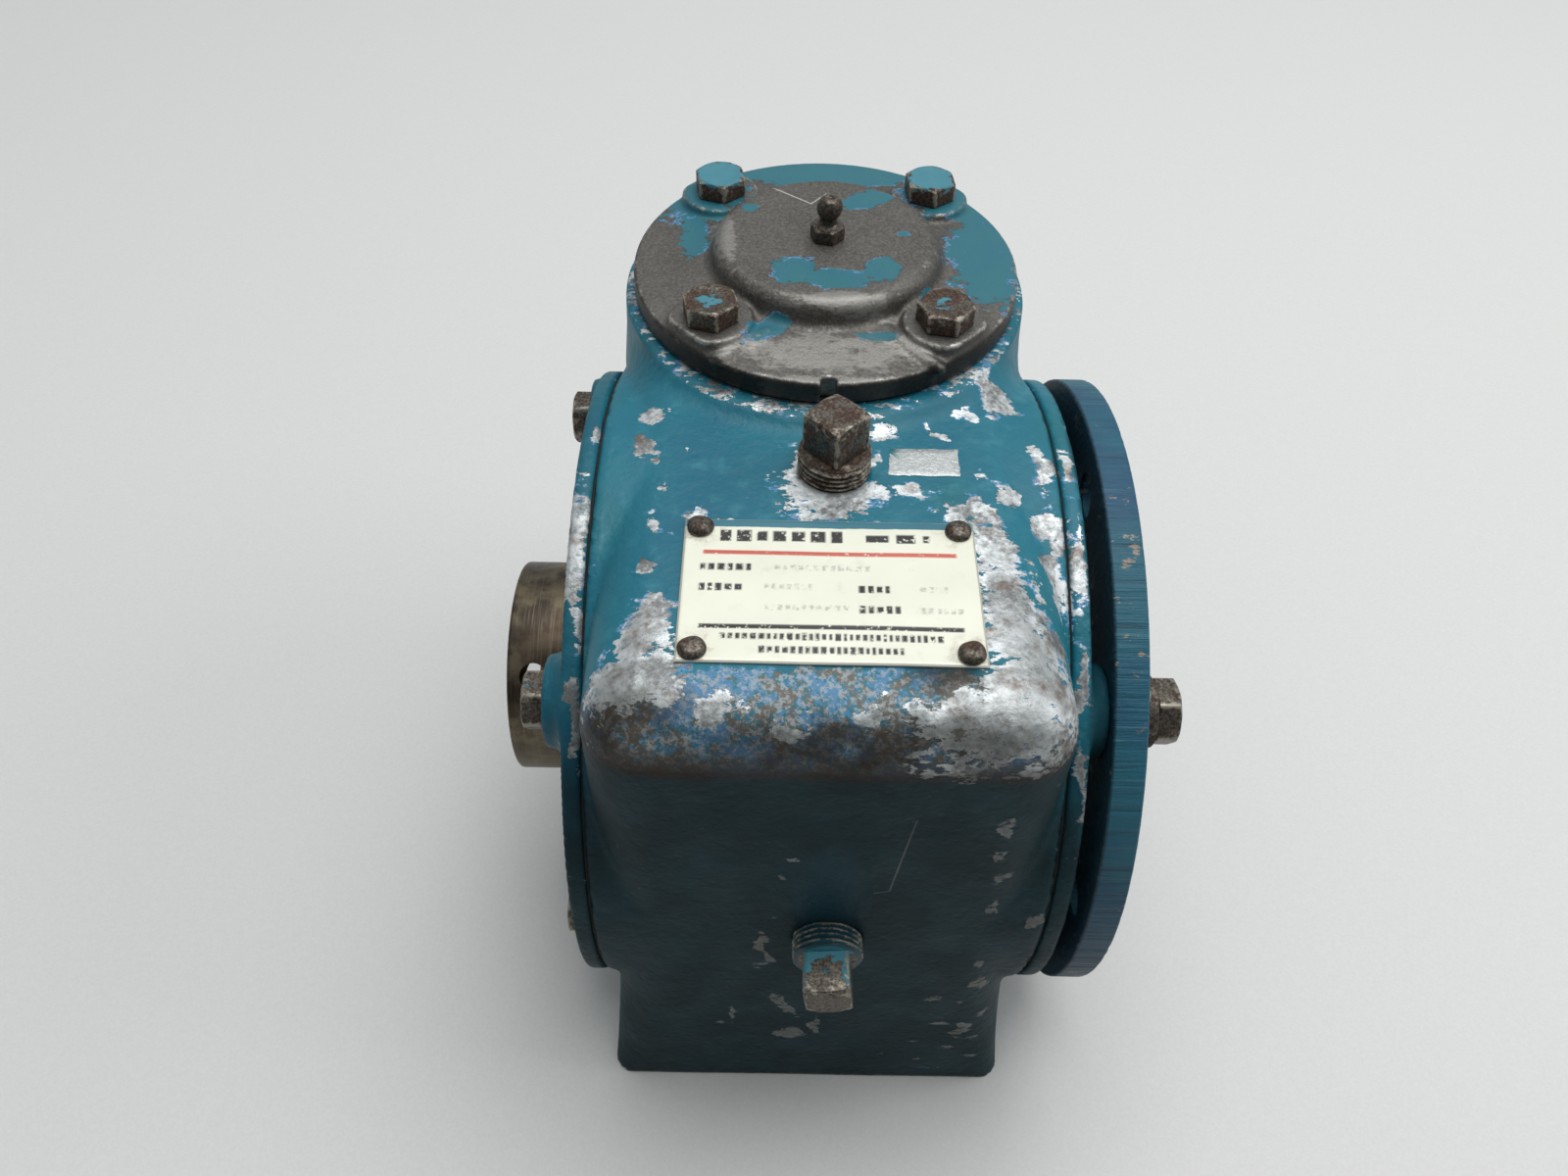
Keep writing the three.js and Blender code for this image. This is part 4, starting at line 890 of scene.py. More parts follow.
def rivets():
    material = worn_steel("rivet_steel", rust=0.5, paint_rim=False)
    turn = angles(64)
    for number in range(1, 5):
        node = f"nameplate_rivet_{number}"
        low, high = box(node)
        seat = plate_high.z + 0.05
        profile = [
            (0.01, low.z), (1.5, low.z), (1.5, seat), (3.0, seat), (2.95, seat + 0.7), (2.2, seat + 1.5),
            (1.1, seat + 1.8), (0.01, high.z - 0.3),
        ]
        place = moved(upright, (low.x + high.x) / 2, (low.y + high.y) / 2)
        rings = circle_rings(turn, softened(profile, 0.4))
        shaped = [roughen(ring, 0.09, 2.4, 80 + number) for ring in rings]
        finish_piece(skin(node, shaped, place), "case", "rusty_steel", material, node)


def foil_patch():
    """A scrap of bright foil label stuck on the top, right of the filler plug."""
    corners = np.array([(14.0, -8.0), (30.7, -8.0), (30.7, 1.3), (14.8, 1.0)])
    random = np.random.default_rng(90)
    steps = 14
    outline = []
    for start, end in zip(corners, np.roll(corners, -1, axis=0)):
        for step in range(steps):
            outline.append(start + (end - start) * step / steps + random.uniform(-0.14, 0.14, 2))
    middle = np.mean(outline, axis=0)
    points = []
    rows = [(1.0, -0.15), (1.0, 0.04), (0.96, 0.09), (0.6, 0.10), (0.25, 0.09)]
    for scale, lift in rows:
        points += [(*(middle + (point - middle) * scale), TOP + 0.12 + lift) for point in outline]
    count = len(outline)
    faces = rings_to_faces(len(rows), count, False)
    faces.append(tuple(reversed(range(count))))
    faces.append(tuple((len(rows) - 1) * count + i for i in range(count)))
    piece = sharpen(to_object("foil_label_scrap", points, faces), 60)
    finish_piece(piece, "case", "plate_enamel", foil())


# ---------------------------------------------------------------- output flange and shaft
def tube(inner, outer, low, high):
    """The closed outline of a plain ring, as (radius, height) points."""
    return [(inner, low), (outer, low), (outer, high), (inner, high)]


def box_tool(low, high):
    """A cutting box between two corners."""
    corners = list(itertools.product(*zip(low, high)))
    faces = [(0, 1, 3, 2), (4, 6, 7, 5), (0, 4, 5, 1), (2, 3, 7, 6), (0, 2, 6, 4), (1, 5, 7, 3)]
    return sharpen(to_object("tool", corners, faces, smooth=False))


def hole_tool(radius, low, high, place, chamfer):
    """A cutting pin that flares at both faces, so that the hole gets chamfers."""
    flare = radius + chamfer
    profile = [
        (0, low - 1), (flare + 1, low - 1), (radius, low + chamfer), (radius, high - chamfer),
        (flare + 1, high + 1), (0, high + 1),
    ]
    return turned("tool", profile, place, soft=0.01, columns=40)


def output_flange():
    """The round plate with saw marks and nicks in its rim, four bolt holes and four plain ones."""
    columns = 900
    turn = angles(columns)
    inner, outer = flange_low.x, flange_high.x
    profile = softened(tube(FLANGE_BORE, FLANGE_RADIUS, inner, outer), 0.8, True)
    random = np.random.default_rng(95)
    saw = np.zeros(columns)
    nicks = 46
    for _ in range(nicks):
        centre, width = random.uniform(0, 2 * np.pi), random.uniform(0.004, 0.014)
        gap = np.abs((turn - centre + np.pi) % (2 * np.pi) - np.pi)
        saw += random.uniform(0.05, 0.22) * np.exp(-(gap / width) ** 2)
    saw += 0.05 * np.sin(turn * 61) * np.sin(turn * 17 + 1) + 0.03 * np.sin(turn * 143 + 2)
    rings = []
    for radius, height in profile:
        share = smoothstep(FLANGE_RADIUS - 2, FLANGE_RADIUS - 0.2, radius)
        rings += circle_rings(turn, [(radius - share * np.maximum(saw, -0.02), height)])
    piece = skin("output_flange", rings, along_output, closed=True)
    tools = []
    for quarter in range(4):
        angle = quarter * math.pi / 2
        for turned_by, chamfer in ((angle, 0.8), (angle + math.pi / 4, 0.2)):
            x, y = BOLT_CIRCLE * math.cos(turned_by), BOLT_CIRCLE * math.sin(turned_by)
            tools.append(hole_tool(FLANGE_HOLE_RADIUS, inner, outer, moved(along_output, x, y), chamfer))
    cut(piece, tools)
    finish_piece(piece, "case", "blue_paint", flange_paint(), "output_flange")


def set_screw_tool():
    """A cutting pin square to the shaft, leaning halfway between up and the front."""
    tilt = math.pi / 4

    def place(points):
        y = points[:, 1] * math.cos(tilt) - points[:, 2] * math.sin(tilt)
        z = points[:, 1] * math.sin(tilt) + points[:, 2] * math.cos(tilt)
        return np.stack([points[:, 0] + SET_SCREW_X, y, z], axis=1)
    radius, low, high = SET_SCREW_RADIUS, SHAFT_BORE - 4, 40
    return turned("tool", [(0, low), (radius, low), (radius, high), (0, high)], place, soft=0.01)


def output_shaft():
    """The hollow shaft: two bearing journals, the wheel's seat and the step that stops the wheel."""
    start, end = shaft_low.x, shaft_high.x
    journal, seat, stop = 25, 27, 30
    profile = [
        (SHAFT_BORE, start), (journal, start), (journal, -30), (seat, -30), (seat, 14.4), (stop, 14.4),
        (stop, 30), (journal, 30), (journal, end), (SHAFT_BORE, end),
    ]
    shaft = turned("output_shaft", profile, along_output, closed=True, soft=1.0, columns=144)
    half = KEYWAY_HALF_WIDTH
    keyway = box_tool((start - 2, -half, -SHAFT_BORE - 3), (end + 2, half, -10))
    key_x, key_y = WHEEL_KEY_HALF
    wheel_key = box_tool((-key_x, -key_y, 23.3), (key_x, key_y, 31))
    cut(shaft, [keyway, wheel_key, set_screw_tool()])
    finish_piece(shaft, "output", "dark_steel", oxide_steel("shaft_oxide", 0.7), "output_shaft")


def shaft_collar():
    profile = tube(COLLAR_BORE, collar_high.z, collar_low.x, collar_high.x)
    band = turned("shaft_collar", profile, along_output, closed=True, soft=0.9, columns=192)
    cut(band, [set_screw_tool()])
    finish_piece(band, "output", "dark_steel", oxide_steel("collar_oxide", 1.0), "shaft_collar")


def output_seals():
    material = rubber()
    lip = 25.2
    low, high = seal_low.x, seal_high.x
    profile = [
        (lip + 2, low), (SEAL_RADIUS - 0.1, low), (SEAL_RADIUS - 0.1, high), (SEAL_RADIUS - 1.8, high),
        (SEAL_RADIUS - 2.3, high - 1), (lip + 3, high - 1), (lip + 1.4, high - 0.2), (lip, high - 2),
    ]
    for side, place in (("right", along_output), ("left", along_output_left)):
        node = f"{side}_output_seal"
        piece = turned(node, profile, place, closed=True, soft=0.35)
        finish_piece(piece, "case", "rubber", material, node)


# ---------------------------------------------------------------- finishes
TEAL = (22, 108, 126)
DEEP_BLUE = (14, 84, 112)
GREEN_TEAL = (24, 100, 108)
PALE_TEAL = (52, 126, 140)
DARK_STREAK = (14, 38, 62)
UNDERCOAT = (92, 150, 196)
# near-black tint for grimy darkening and painted shade on the castings
GRIME_AND_SHADE = (21, 34, 37)
BROWN = (92, 70, 54)
BRIGHT_METAL = (214, 219, 220)
GREY_METAL = (120, 122, 122)
AZURE = (70, 124, 162)
RUBBED_IRON = (98, 94, 86)


def srgb(colour):
    """A 0-255 screen colour, as the renderer wants it."""
    def linear(channel):
        share = channel / 255
        return share / 12.92 if share <= 0.04045 else ((share + 0.055) / 1.055) ** 2.4
    return (*map(linear, colour), 1.0)


def connect(tree, node, inputs):
    """Sets each named input of a node to a value, or links it to a socket."""
    for key, value in inputs.items():
        if isinstance(value, bpy.types.NodeSocket):
            tree.links.new(value, node.inputs[key])
        elif value is not None:
            node.inputs[key].default_value = value


def add_node(tree, kind, inputs, output=0, **settings):
    """Adds a shader node and returns one of its output sockets."""
    node = tree.nodes.new("ShaderNode" + kind)
    for key, value in settings.items():
        setattr(node, key, value)
    connect(tree, node, inputs)
    return node.outputs[output]


class Finish:
    """A node material built by short calls that return sockets.

    Lengths are in millimetres and tints are 0-255 screen colours.
    """

    def __init__(self, name):
        self.material = bpy.data.materials.new(name)
        self.material.use_nodes = True
        self.tree = self.material.node_tree
        coordinates = self.add("TexCoord", {}, "Object")
        self.place = self.moved(coordinates, (0, 0, -AXIS_HEIGHT), (1 / MM,) * 3)

    def add(self, kind, inputs, output=0, **settings):
        return add_node(self.tree, kind, inputs, output, **settings)

    def moved(self, vector, shift, stretch=(1, 1, 1)):
        return self.add("Mapping", {"Vector": vector, "Location": shift, "Scale": stretch})

    def plus(self, a, b):
        return self.add("Math", {0: a, 1: b}, operation="ADD")

    def times(self, a, b, clamp=False):
        return self.add("Math", {0: a, 1: b}, operation="MULTIPLY", use_clamp=clamp)

    def scaled(self, value, factor, offset=0.0):
        return self.add("Math", {0: value, 1: factor, 2: offset}, operation="MULTIPLY_ADD")

    def inverse(self, value):
        return self.scaled(value, -1.0, 1.0)

    def most(self, *values):
        result = values[0]
        for value in values[1:]:
            result = self.add("Math", {0: result, 1: value}, operation="MAXIMUM")
        return result

    def step(self, value, low, high):
        """0 at low and 1 at high, with a smooth change between them."""
        return self.add("MapRange", {0: value, 1: low, 2: high}, interpolation_type="SMOOTHSTEP")

    def cover(self, colour, tint, factor, share=1.0):
        """Lays a tint over a colour where the factor is 1."""
        if share != 1:
            factor = self.scaled(factor, share)
        below, above = (srgb(side) if isinstance(side, tuple) else side for side in (colour, tint))
        return self.add("Mix", {0: factor, 6: below, 7: above}, 2, data_type="RGBA")

    def number(self, factor, a, b):
        """Goes from a to b as the factor goes from 0 to 1."""
        return self.add("Mix", {0: factor, 2: a, 3: b}, data_type="FLOAT")

    def field(self, name):
        return self.add("Attribute", {}, 2, attribute_name=name)

    def along(self, axis):
        return self.add("SeparateXYZ", {0: self.place}, "XYZ".index(axis))

    def noise(self, size, detail=3.0, roughness=0.6, stretch=(1, 1, 1), shift=0.0, distortion=0.0):
        vector = self.place
        if stretch != (1, 1, 1) or shift:
            vector = self.moved(vector, (shift,) * 3, stretch)
        return self.add("TexNoise", {
            "Vector": vector, "Scale": 1 / size, "Detail": detail, "Roughness": roughness,
            "Distortion": distortion,
        })

    def spots(self, low, high, *noise, **shape):
        """Spots with a soft edge, cut from noise between two levels."""
        return self.step(self.noise(*noise, **shape), low, high)

    def ragged(self, value, size, depth, **shape):
        """A field made uneven by fine noise that goes up and down by half the depth."""
        return self.plus(value, self.scaled(self.noise(size, 5, **shape), depth, -depth / 2))

    def pits(self, size, shift):
        """Distance to the nearest of many scattered points."""
        vector = self.moved(self.place, (shift,) * 3)
        return self.add("TexVoronoi", {"Vector": vector, "Scale": 1 / size})

    def scratch(self, start, end, width):
        """1 on a straight scratch between two points, 0 away from it."""
        start, end = Vector(start), Vector(end)
        direction = (end - start).normalized()
        offset = self.add("VectorMath", {0: self.place, 1: start}, operation="SUBTRACT")
        travel = self.add("VectorMath", {0: offset, 1: direction}, 1, operation="DOT_PRODUCT")
        travel = self.add("Clamp", {0: travel, 1: 0.0, 2: (end - start).length})
        nearest = self.add("VectorMath", {0: direction, "Scale": travel}, operation="SCALE")
        gap = self.add("VectorMath", {0: offset, 1: nearest}, 1, operation="DISTANCE")
        return self.step(gap, width, width * 0.3)

    def bump(self, height, depth, below=None):
        return self.add("Bump", {"Height": height, "Distance": depth * MM, "Strength": 1.0, "Normal": below})

    def done(self, colour, roughness, metallic, normal, coat=0.0, specular=0.35):
        connect(self.tree, self.tree.nodes["Principled BSDF"], {
            "Base Color": colour, "Roughness": roughness, "Metallic": metallic, "Normal": normal,
            "Specular IOR Level": specular, "Coat Weight": coat, "Coat Roughness": 0.25,
        })
        return self.material


def paint_colour(look):
    """Brushed shop paint: teal with bluer, greener and paler areas."""
    colour = look.cover(TEAL, DEEP_BLUE, look.spots(0.4, 0.7, 42, 3, 0.5), 0.55)
    colour = look.cover(colour, GREEN_TEAL, look.spots(0.5, 0.75, 27, 2, 0.5, shift=57), 0.6)
    return look.cover(colour, PALE_TEAL, look.spots(0.5, 0.85, 5.5, 5, shift=31))


def cast_bump(look):
    """Sand-cast skin: soft lumps with small pits."""
    lumps = look.noise(3.2, 4, 0.55, shift=7)
    grain = look.noise(0.9, shift=19)
    pits = look.step(look.pits(4.5, 3), 0.0, 0.32)
    height = look.plus(look.plus(lumps, look.scaled(grain, 0.22)), look.scaled(pits, 0.3))
    return look.bump(height, 0.35)


def chipped(look, field, coarse=1.7, fine=2.0, shift=0.0):
    """A wear field with ragged, flaked edges: paint is gone where this is above a half."""
    islands = look.noise(5.5, stretch=(0.7, 1, 1.2), shift=shift + 11, distortion=0.5)
    flakes = look.noise(1.8, 5, 0.72, stretch=(0.5, 1, 1.2), shift=shift + 23)
    ragged = look.plus(look.scaled(field, 1.2, -0.2), look.scaled(islands, coarse, -0.5 * coarse))
    return look.plus(ragged, look.scaled(flakes, fine, -0.5 * fine))


def worn_paint(name):
    """The shop paint on castings: chipped to an undercoat and metal, grimy with painted shade, and scuffed.
    """
    look = Finish(name)
    grime_and_shade = look.field("grime_and_shade")
    # where the paint is gone
    wear = look.plus(look.field("bare"), look.scaled(look.most(look.field("edge"), 0.0), 0.22))
    lip = look.step(look.along("Z"), TURRET_TOP - 1.0, TURRET_TOP - 0.4)
    sole = look.step(look.along("Z"), BASE + 1.8, BASE + 0.8)
    worn_rims = look.most(look.scaled(lip, 0.5), look.scaled(sole, 0.75))
    wear = chipped(look, look.most(wear, worn_rims), coarse=1.7, fine=2.5)
    specks = look.spots(0.7, 0.712, 3.2, 5, 0.74, shift=83)
    strays = look.spots(0.47, 0.6, 24, 2, 0.5, shift=91)
    chip = look.most(look.step(wear, 0.49, 0.52), look.times(specks, strays))
    broken = look.spots(0.6, 0.55, 1.5, 4, 0.7, stretch=(0.5, 1, 1.3), shift=77)
    chip = look.times(chip, look.number(grime_and_shade, 1.0, broken))
    halo = look.times(look.step(wear, 0.37, 0.39), look.spots(0.52, 0.56, 7, 2, 0.5, shift=45))
    scratch = look.most(
        look.scratch((19, FRONT, 54), (15.5, FRONT, 24), 0.32),
        look.scratch((15.5, FRONT, 24), (12, FRONT, 23), 0.3),
        look.scratch((-46, -28, TOP), (-44, -38, TOP), 0.5),
    )
    # the paint, its undercoat and the rubbed shoulder
    colour = look.cover(paint_colour(look), DARK_STREAK, look.field("streak"), 0.5)
    colour = look.cover(colour, UNDERCOAT, halo)
    patchy = look.plus(look.noise(2.9, 5, 0.72, shift=64), look.scaled(look.noise(15, 2, 0.5), 0.7))
    rubbed = look.cover(AZURE, TEAL, look.step(patchy, 0.82, 0.85))
    rubbed = look.cover(rubbed, RUBBED_IRON, look.step(patchy, 0.88, 0.91))
    rubbed = look.cover(rubbed, (158, 166, 170), look.spots(0.48, 0.58, 1.4, 5, 0.78, shift=66), 0.8)
    rubbed = look.cover(rubbed, (60, 56, 52), look.step(look.along("Z"), 78, 73), 0.7)
    scuff = look.ragged(look.field("scuffed"), 3, 2.0, roughness=0.7, shift=68)
    colour = look.cover(colour, rubbed, look.step(scuff, 0.42, 0.56))
    # the metal under it
    mottle = look.plus(look.noise(14, 2, 0.5, shift=5), look.scaled(look.noise(1.8, 5, 0.75), 0.9))
    bare = look.cover(GREY_METAL, BRIGHT_METAL, look.step(mottle, 0.72, 1.05))
    inner = look.times(look.step(look.field("bare"), 0.7, 1.0), look.step(look.along("Y"), -27, -40))
    bare = look.cover(bare, GREY_METAL, inner, 0.5)
    bare = look.cover(bare, BROWN, look.spots(0.5, 0.72, 7, 4, 0.65, shift=71), 0.75)
    # grimy darkening and painted shade over both
    smudge_and_shade = look.times(grime_and_shade, look.scaled(look.noise(18, 4, shift=13), 0.36, 0.8), clamp=True)
    grime_and_shade_tint = look.cover(GRIME_AND_SHADE, (50, 42, 36), look.field("scuffed"))
    colour = look.cover(colour, grime_and_shade_tint, smudge_and_shade, 0.93)
    bare = look.cover(bare, (88, 92, 87), smudge_and_shade, 0.88)
    chip = look.most(chip, look.scaled(scratch, 0.6))
    colour = look.cover(colour, bare, chip)
    roughness = look.number(chip, look.number(look.noise(11, shift=3), 0.36, 0.62), 0.46)
    metallic = look.times(look.scaled(chip, 0.55), look.scaled(smudge_and_shade, -0.8, 1.0))
    film = look.bump(look.inverse(chip), 0.12, cast_bump(look))
    return look.done(colour, roughness, metallic, film, specular=look.scaled(smudge_and_shade, -0.27, 0.36))


def flange_paint():
    """Thinner paint over a sawn plate, with saw lines round the rim, and painted shade on its lower part and
    its inner face.
    """
    look = Finish("flange_paint")
    colour = look.cover((32, 92, 110), (27, 77, 104), look.spots(0.4, 0.62, 30, 3, 0.5, shift=4))
    # painted shade: darker towards the bottom of the plate and on its inner face
    low = look.step(look.along("Z"), 45, -40)
    inside = look.step(look.along("X"), flange_low.x + 0.9, flange_low.x + 0.3)
    colour = look.cover(colour, (16, 36, 46), look.most(low, inside), 0.75)
    lines = look.noise(1.6, 4, 0.7, stretch=(0.04, 1, 1), shift=8)
    rim_wear = look.scaled(look.noise(9, shift=17), 1.3)
    chip = look.step(chipped(look, rim_wear, 0.4, 1.3, 60), 0.89, 0.93)
    bare = look.cover(BROWN, (158, 152, 142), look.noise(3))
    colour = look.cover(colour, (110, 160, 172), look.step(lines, 0.55, 0.8), 0.35)
    colour = look.cover(colour, (14, 44, 58), look.step(lines, 0.46, 0.3), 0.6)
    colour = look.cover(colour, bare, chip)
    surface = look.bump(look.noise(1.4, 4), 0.12, look.bump(lines, 0.5))
    return look.done(colour, look.number(chip, 0.5, 0.42), look.scaled(chip, 0.5), surface)


def cap_iron():
    """Bare cast iron, brown-grey and speckled, with scraps of paint, shiny rubbed edges and bright patches
    that are partly rubbed metal and partly painted highlight.
    """
    look = Finish("cap_iron")
    paint_field = chipped(look, look.field("paint"), 1.3, 1.6, 100)
    painted = look.step(paint_field, 0.49, 0.53)
    halo = look.step(paint_field, 0.6, 0.57)
    edge = look.step(look.ragged(look.field("edge"), 2.6, 2.6, roughness=0.75), 0.35, 0.95)
    # bright patches: partly rubbed metal and partly painted highlight
    rub_and_highlight = look.step(chipped(look, look.field("rub_and_highlight"), 1.2, 2.4, 120), 0.4, 0.95)
    worn = look.most(look.scaled(edge, 0.85), look.scaled(rub_and_highlight, 0.38))
    speckle = look.noise(0.8, 4, 0.75, shift=15)
    broad = look.noise(16, 3, 0.55, shift=21)
    colour = look.cover((74, 69, 64), (104, 102, 98), broad)
    colour = look.cover(colour, (134, 132, 127), look.step(speckle, 0.4, 0.7), 0.5)
    colour = look.cover(colour, (48, 42, 38), look.step(speckle, 0.45, 0.25), 0.5)
    colour = look.cover(colour, (178, 176, 170), worn)
    colour = look.cover(colour, (38, 34, 32), look.field("grime_and_shade"), 0.8)
    teal = look.cover((44, 110, 114), (34, 100, 122), look.noise(9, shift=33))
    teal = look.cover(teal, (104, 156, 204), look.times(halo, look.spots(0.5, 0.55, 7, 2, 0.5, shift=2)))
    painted = look.times(painted, look.scaled(worn, -0.85, 1.0), clamp=True)
    colour = look.cover(colour, teal, painted)
    mark = look.most(
        look.scratch((-15, WORM_Y + 23.5, CAP_TOP), (-4, WORM_Y + 15.5, CAP_TOP), 0.3),
        look.scratch((-4, WORM_Y + 15.5, CAP_TOP), (0, WORM_Y + 20.5, CAP_TOP), 0.25),
    )
    colour = look.cover(colour, (186, 184, 176), mark)
    roughness = look.number(painted, look.number(worn, 0.52, 0.3), 0.45)
    film = look.bump(painted, 0.1, look.bump(speckle, 0.16, look.bump(broad, 0.6)))
    return look.done(colour, roughness, look.scaled(look.inverse(painted), 0.72), film)


def worn_steel(name, rust, paint_rim):
    """Zinc or plain steel with brown rust and, on some pieces, paint that clings to the flats."""
    look = Finish(name)
    grain = look.noise(0.7, 4, 0.7, shift=6)
    blotch = look.noise(3.6, 4, 0.65, shift=12)
    colour = look.cover((62, 57, 52), (118, 111, 101), look.step(grain, 0.35, 0.7))
    rusty = look.step(blotch, 0.66 - 0.34 * rust, 0.74 - 0.3 * rust)
    rust_colour = look.cover((52, 40, 34), (96, 72, 58), look.step(grain, 0.4, 0.65))
    colour = look.cover(colour, rust_colour, rusty, 0.9)
    roughness = look.number(rusty, 0.42, 0.75)
    metallic = look.number(rusty, 0.8, 0.25)
    rub = look.step(look.ragged(look.field("edge"), 2.2, 3.2, roughness=0.75, shift=26), 0.62, 0.95)
    colour = look.cover(colour, (158, 152, 138), rub, 0.75)
    height = look.plus(look.scaled(grain, 0.5), look.scaled(rusty, 0.5))
    if paint_rim:
        painted = look.step(chipped(look, look.field("paint"), 1.0, 1.4, 140), 0.49, 0.53)
        painted = look.times(painted, look.scaled(rub, -0.8, 1.0), clamp=True)
        paint = look.cover((54, 118, 132), (72, 134, 150), look.noise(4))
        shaded = look.most(look.step(look.along("Z"), 4.5, 3.5), look.field("thread"))
        paint = look.cover(paint, (18, 50, 58), shaded, 0.9)
        colour = look.cover(colour, paint, painted)
        roughness = look.number(painted, roughness, 0.45)
        metallic = look.times(metallic, look.inverse(painted))
        height = look.plus(height, look.scaled(painted, 0.6))
    return look.done(colour, roughness, metallic, look.bump(height, 0.09))


def oxide_steel(name, brown):
    """Turned steel under a thin brown oxide, with a painted tan highlight on its lower half."""
    look = Finish(name)
    rings = look.noise(0.5, stretch=(1, 0.03, 0.03))
    blotch = look.noise(8, 4, shift=9)
    colour = look.cover((66, 59, 51), (112, 102, 84), look.step(blotch, 0.38, 0.66))
    colour = look.cover(colour, (68, 52, 44), look.spots(0.52, 0.6, 15, 2, 0.5, shift=40), 0.5 * brown)
    colour = look.cover(colour, (150, 140, 118), look.step(rings, 0.5, 0.75), 0.3)
    # painted highlight: a tan band on the lower half
    colour = look.cover(colour, (146, 134, 112), look.step(look.along("Z"), 12, -16), 0.5)
    height = look.plus(look.scaled(rings, 0.6), look.scaled(look.noise(1.1, 4), 0.5))
    return look.done(colour, look.number(blotch, 0.34, 0.5), 0.85, look.bump(height, 0.05))


def plate_enamel():
    """Cream enamel with worn print, rivet stains and paint brushed over its upper edge."""
    look = Finish("plate_enamel")
    cream = look.cover((236, 236, 220), (222, 222, 204), look.noise(13, 4))
    smear = look.spots(0.56, 0.8, 6, 5, 0.7, shift=17)
    cream = look.cover(cream, (180, 182, 170), smear, 0.35)
    rubbed = look.noise(1.1, 4, 0.7, shift=27)
    colour = look.cover(cream, (34, 34, 34), look.times(look.field("ink"), look.step(rubbed, 0.34, 0.44)))
    colour = look.cover(colour, (196, 92, 76), look.times(look.field("red"), look.step(rubbed, 0.3, 0.4)))
    faint = look.times(look.field("stamp"), look.step(rubbed, 0.42, 0.6))
    colour = look.cover(colour, (126, 126, 118), faint, 0.5)
    stain = look.times(look.field("stain"), look.spots(0.45, 0.7, 3, 4, 0.7, shift=37))
    colour = look.cover(colour, (128, 96, 66), stain, 0.6)
    over = look.step(chipped(look, look.field("overpaint"), 0.4, 0.3, 160), 0.48, 0.53)
    colour = look.cover(colour, (52, 112, 128), over)
    edge = look.step(chipped(look, look.field("border"), 0.3, 0.3, 170), 0.62, 0.8)
    colour = look.cover(colour, (150, 150, 140), edge, 0.7)
    height = look.plus(look.scaled(look.field("ink"), 0.25), look.scaled(faint, -0.8))
    height = look.plus(height, look.scaled(smear, 0.2))
    return look.done(colour, look.number(smear, 0.32, 0.5), 0.05, look.bump(height, 0.08), coat=0.3)


def foil():
    """Crinkled bright foil with paint over its left end."""
    look = Finish("foil_label")
    crinkle = look.noise(1.6, 4, 0.7, distortion=0.8)
    colour = look.cover((150, 156, 156), (206, 210, 208), crinkle)
    left_end = look.step(look.along("X"), 17.5, 15)
    upper = look.step(look.plus(look.along("Y"), look.along("X")), 13.6, 14.4)
    colour = look.cover(colour, (66, 118, 124), look.times(left_end, upper))
    return look.done(colour, look.number(crinkle, 0.3, 0.5), 0.75, look.bump(crinkle, 0.18))


def rubber():
    look = Finish("seal_rubber")
    dust = look.noise(2.4, 4, 0.65)
    colour = look.cover((24, 24, 25), (58, 56, 52), dust)
    return look.done(colour, look.number(dust, 0.55, 0.8), 0.0, look.bump(look.noise(0.8), 0.05))


def gasket_fibre():
    look = Finish("gasket_fibre")
    fibre = look.noise(0.6, 4, 0.7, stretch=(1, 1, 0.3))
    colour = look.cover((16, 17, 17), (46, 44, 40), fibre)
    return look.done(colour, 0.85, 0.0, look.bump(fibre, 0.06))


def ground_steel():
    look = Finish("ground_steel")
    lines = look.noise(0.4, stretch=(0.1, 0.1, 1))
    oil = look.noise(14, shift=3)
    colour = look.cover((150, 150, 148), (196, 196, 193), lines)
    colour = look.cover(colour, (104, 96, 82), look.step(oil, 0.5, 0.7), 0.5)
    return look.done(colour, look.number(oil, 0.22, 0.38), 1.0, look.bump(lines, 0.02))


def gear_bronze():
    look = Finish("gear_bronze")
    tone = look.noise(10, 4)
    colour = look.cover((150, 108, 56), (198, 154, 88), tone)
    colour = look.cover(colour, (92, 62, 36), look.spots(0.55, 0.75, 3, 4, 0.7, shift=5), 0.5)
    return look.done(colour, look.number(tone, 0.25, 0.42), 1.0, look.bump(look.noise(0.7), 0.03))


def finish_hidden_nodes():
    """The CAD pieces that stay: bearings, gears, rings, gaskets and the input seal."""
    steel, bronze, fibre, lip = ground_steel(), gear_bronze(), gasket_fibre(), rubber()
    for name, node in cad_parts.items():
        if node.hide_render:
            continue
        if "gasket" in name:
            material = fibre
        elif "seal" in name:
            material = lip
        elif name == "worm_wheel":
            material = bronze
        else:
            material = steel
        node.data.materials.clear()
        node.data.materials.append(material)


# ---------------------------------------------------------------- stage
# Lengths here are in metres, apart from the camera's place.
FLOOR_REACH = 6
CAMERA_PLACE = (-12, -224.96, 371.73)
CAMERA_DOWN = 48.18
CAMERA_ASIDE = 0.67
CAMERA_ROLL = -1.58
CAMERA_LENS = 29.34


def studio_floor():
    look = Finish("floor")
    colour = look.cover((204, 204, 202), (222, 222, 220), look.noise(0.9, 3, 0.7))
    corners = [(x * FLOOR_REACH, y * FLOOR_REACH, 0) for x, y in ((-1, -1), (1, -1), (1, 1), (-1, 1))]
    mesh = bpy.data.meshes.new("floor")
    mesh.from_pydata(corners, [], [(0, 1, 2, 3)])
    mesh.materials.append(look.done(colour, 0.6, 0.0, None))
    floor = bpy.data.objects.new("floor", mesh)
    bpy.context.scene.collection.objects.link(floor)


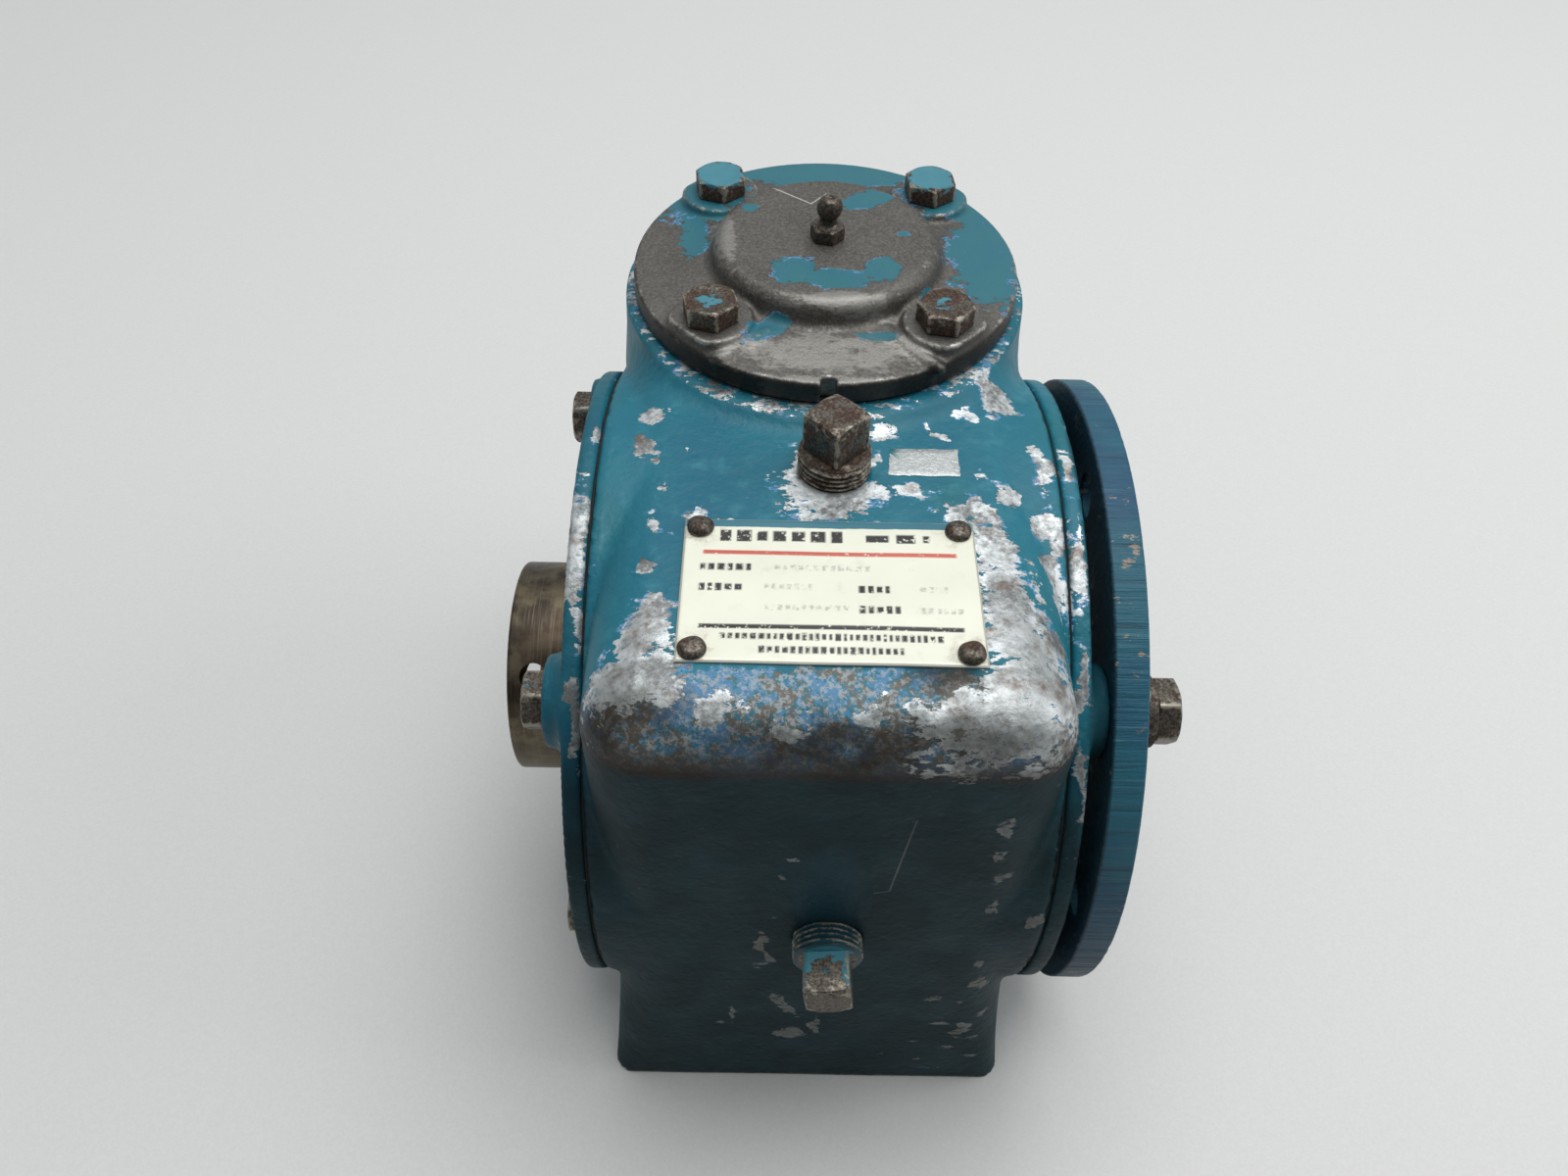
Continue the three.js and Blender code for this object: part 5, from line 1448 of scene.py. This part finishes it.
def area_light(name, place, target, width, power):
    light = bpy.data.lights.new(name, "AREA")
    light.shape = "SQUARE"
    light.size = width
    light.energy = power
    lamp = bpy.data.objects.new(name, light)
    lamp.location = place
    direction = Vector(target) - Vector(place)
    lamp.rotation_euler = direction.to_track_quat("-Z", "Y").to_euler()
    bpy.context.scene.collection.objects.link(lamp)


def studio_light():
    """A soft room, brighter above and behind, with two large lamps."""
    world = bpy.data.worlds.new("studio")
    world.use_nodes = True
    bpy.context.scene.world = world
    tree = world.node_tree
    direction = add_node(tree, "TexCoord", {}, "Generated")
    lift = add_node(tree, "VectorMath", {0: direction, 1: (0.05, 0.55, 0.83)}, 1, operation="DOT_PRODUCT")
    brightness = add_node(tree, "MapRange", {0: lift, "From Min": -0.5, "To Min": 0.05, "To Max": 0.78})
    seen = add_node(tree, "LightPath", {}, "Is Camera Ray")
    strength = add_node(tree, "Mix", {0: seen, 2: brightness, 3: 0.72})
    connect(tree, tree.nodes["Background"], {"Color": srgb((224, 228, 230)), "Strength": strength})
    middle = (0, 0, 0.1)
    area_light("overhead", (0.2, 0.3, 1.8), middle, 1.3, 21)
    area_light("right_fill", (1.5, 0.1, 1.1), middle, 0.9, 7)


def photo_camera():
    """Looks down at the front from a little left of the middle."""
    down, aside, roll = map(math.radians, (CAMERA_DOWN, CAMERA_ASIDE, CAMERA_ROLL))
    level = Vector((math.sin(aside), math.cos(aside), 0)) * math.cos(down)
    ahead = level - Vector((0, 0, math.sin(down)))
    right = Vector((math.cos(aside), -math.sin(aside), 0))
    below = ahead.cross(right)
    data = bpy.data.cameras.new("camera")
    data.sensor_width = 36
    data.lens = CAMERA_LENS
    camera = bpy.data.objects.new("camera", data)
    across = right * math.cos(roll) + below * math.sin(roll)
    up = right * math.sin(roll) - below * math.cos(roll)
    turn = Matrix((across, up, -ahead)).transposed()
    camera.matrix_world = Matrix.Translation(Vector(CAMERA_PLACE) * MM) @ turn.to_4x4()
    bpy.context.scene.collection.objects.link(camera)
    bpy.context.scene.camera = camera


# ---------------------------------------------------------------- build
build_castings(1.5)
build_bolts()
build_plugs()
grease_fitting()
nameplate()
rivets()
foil_patch()
output_flange()
output_shaft()
shaft_collar()
output_seals()
finish_hidden_nodes()
studio_floor()
studio_light()
photo_camera()
bpy.context.scene.view_settings.view_transform = "Standard"
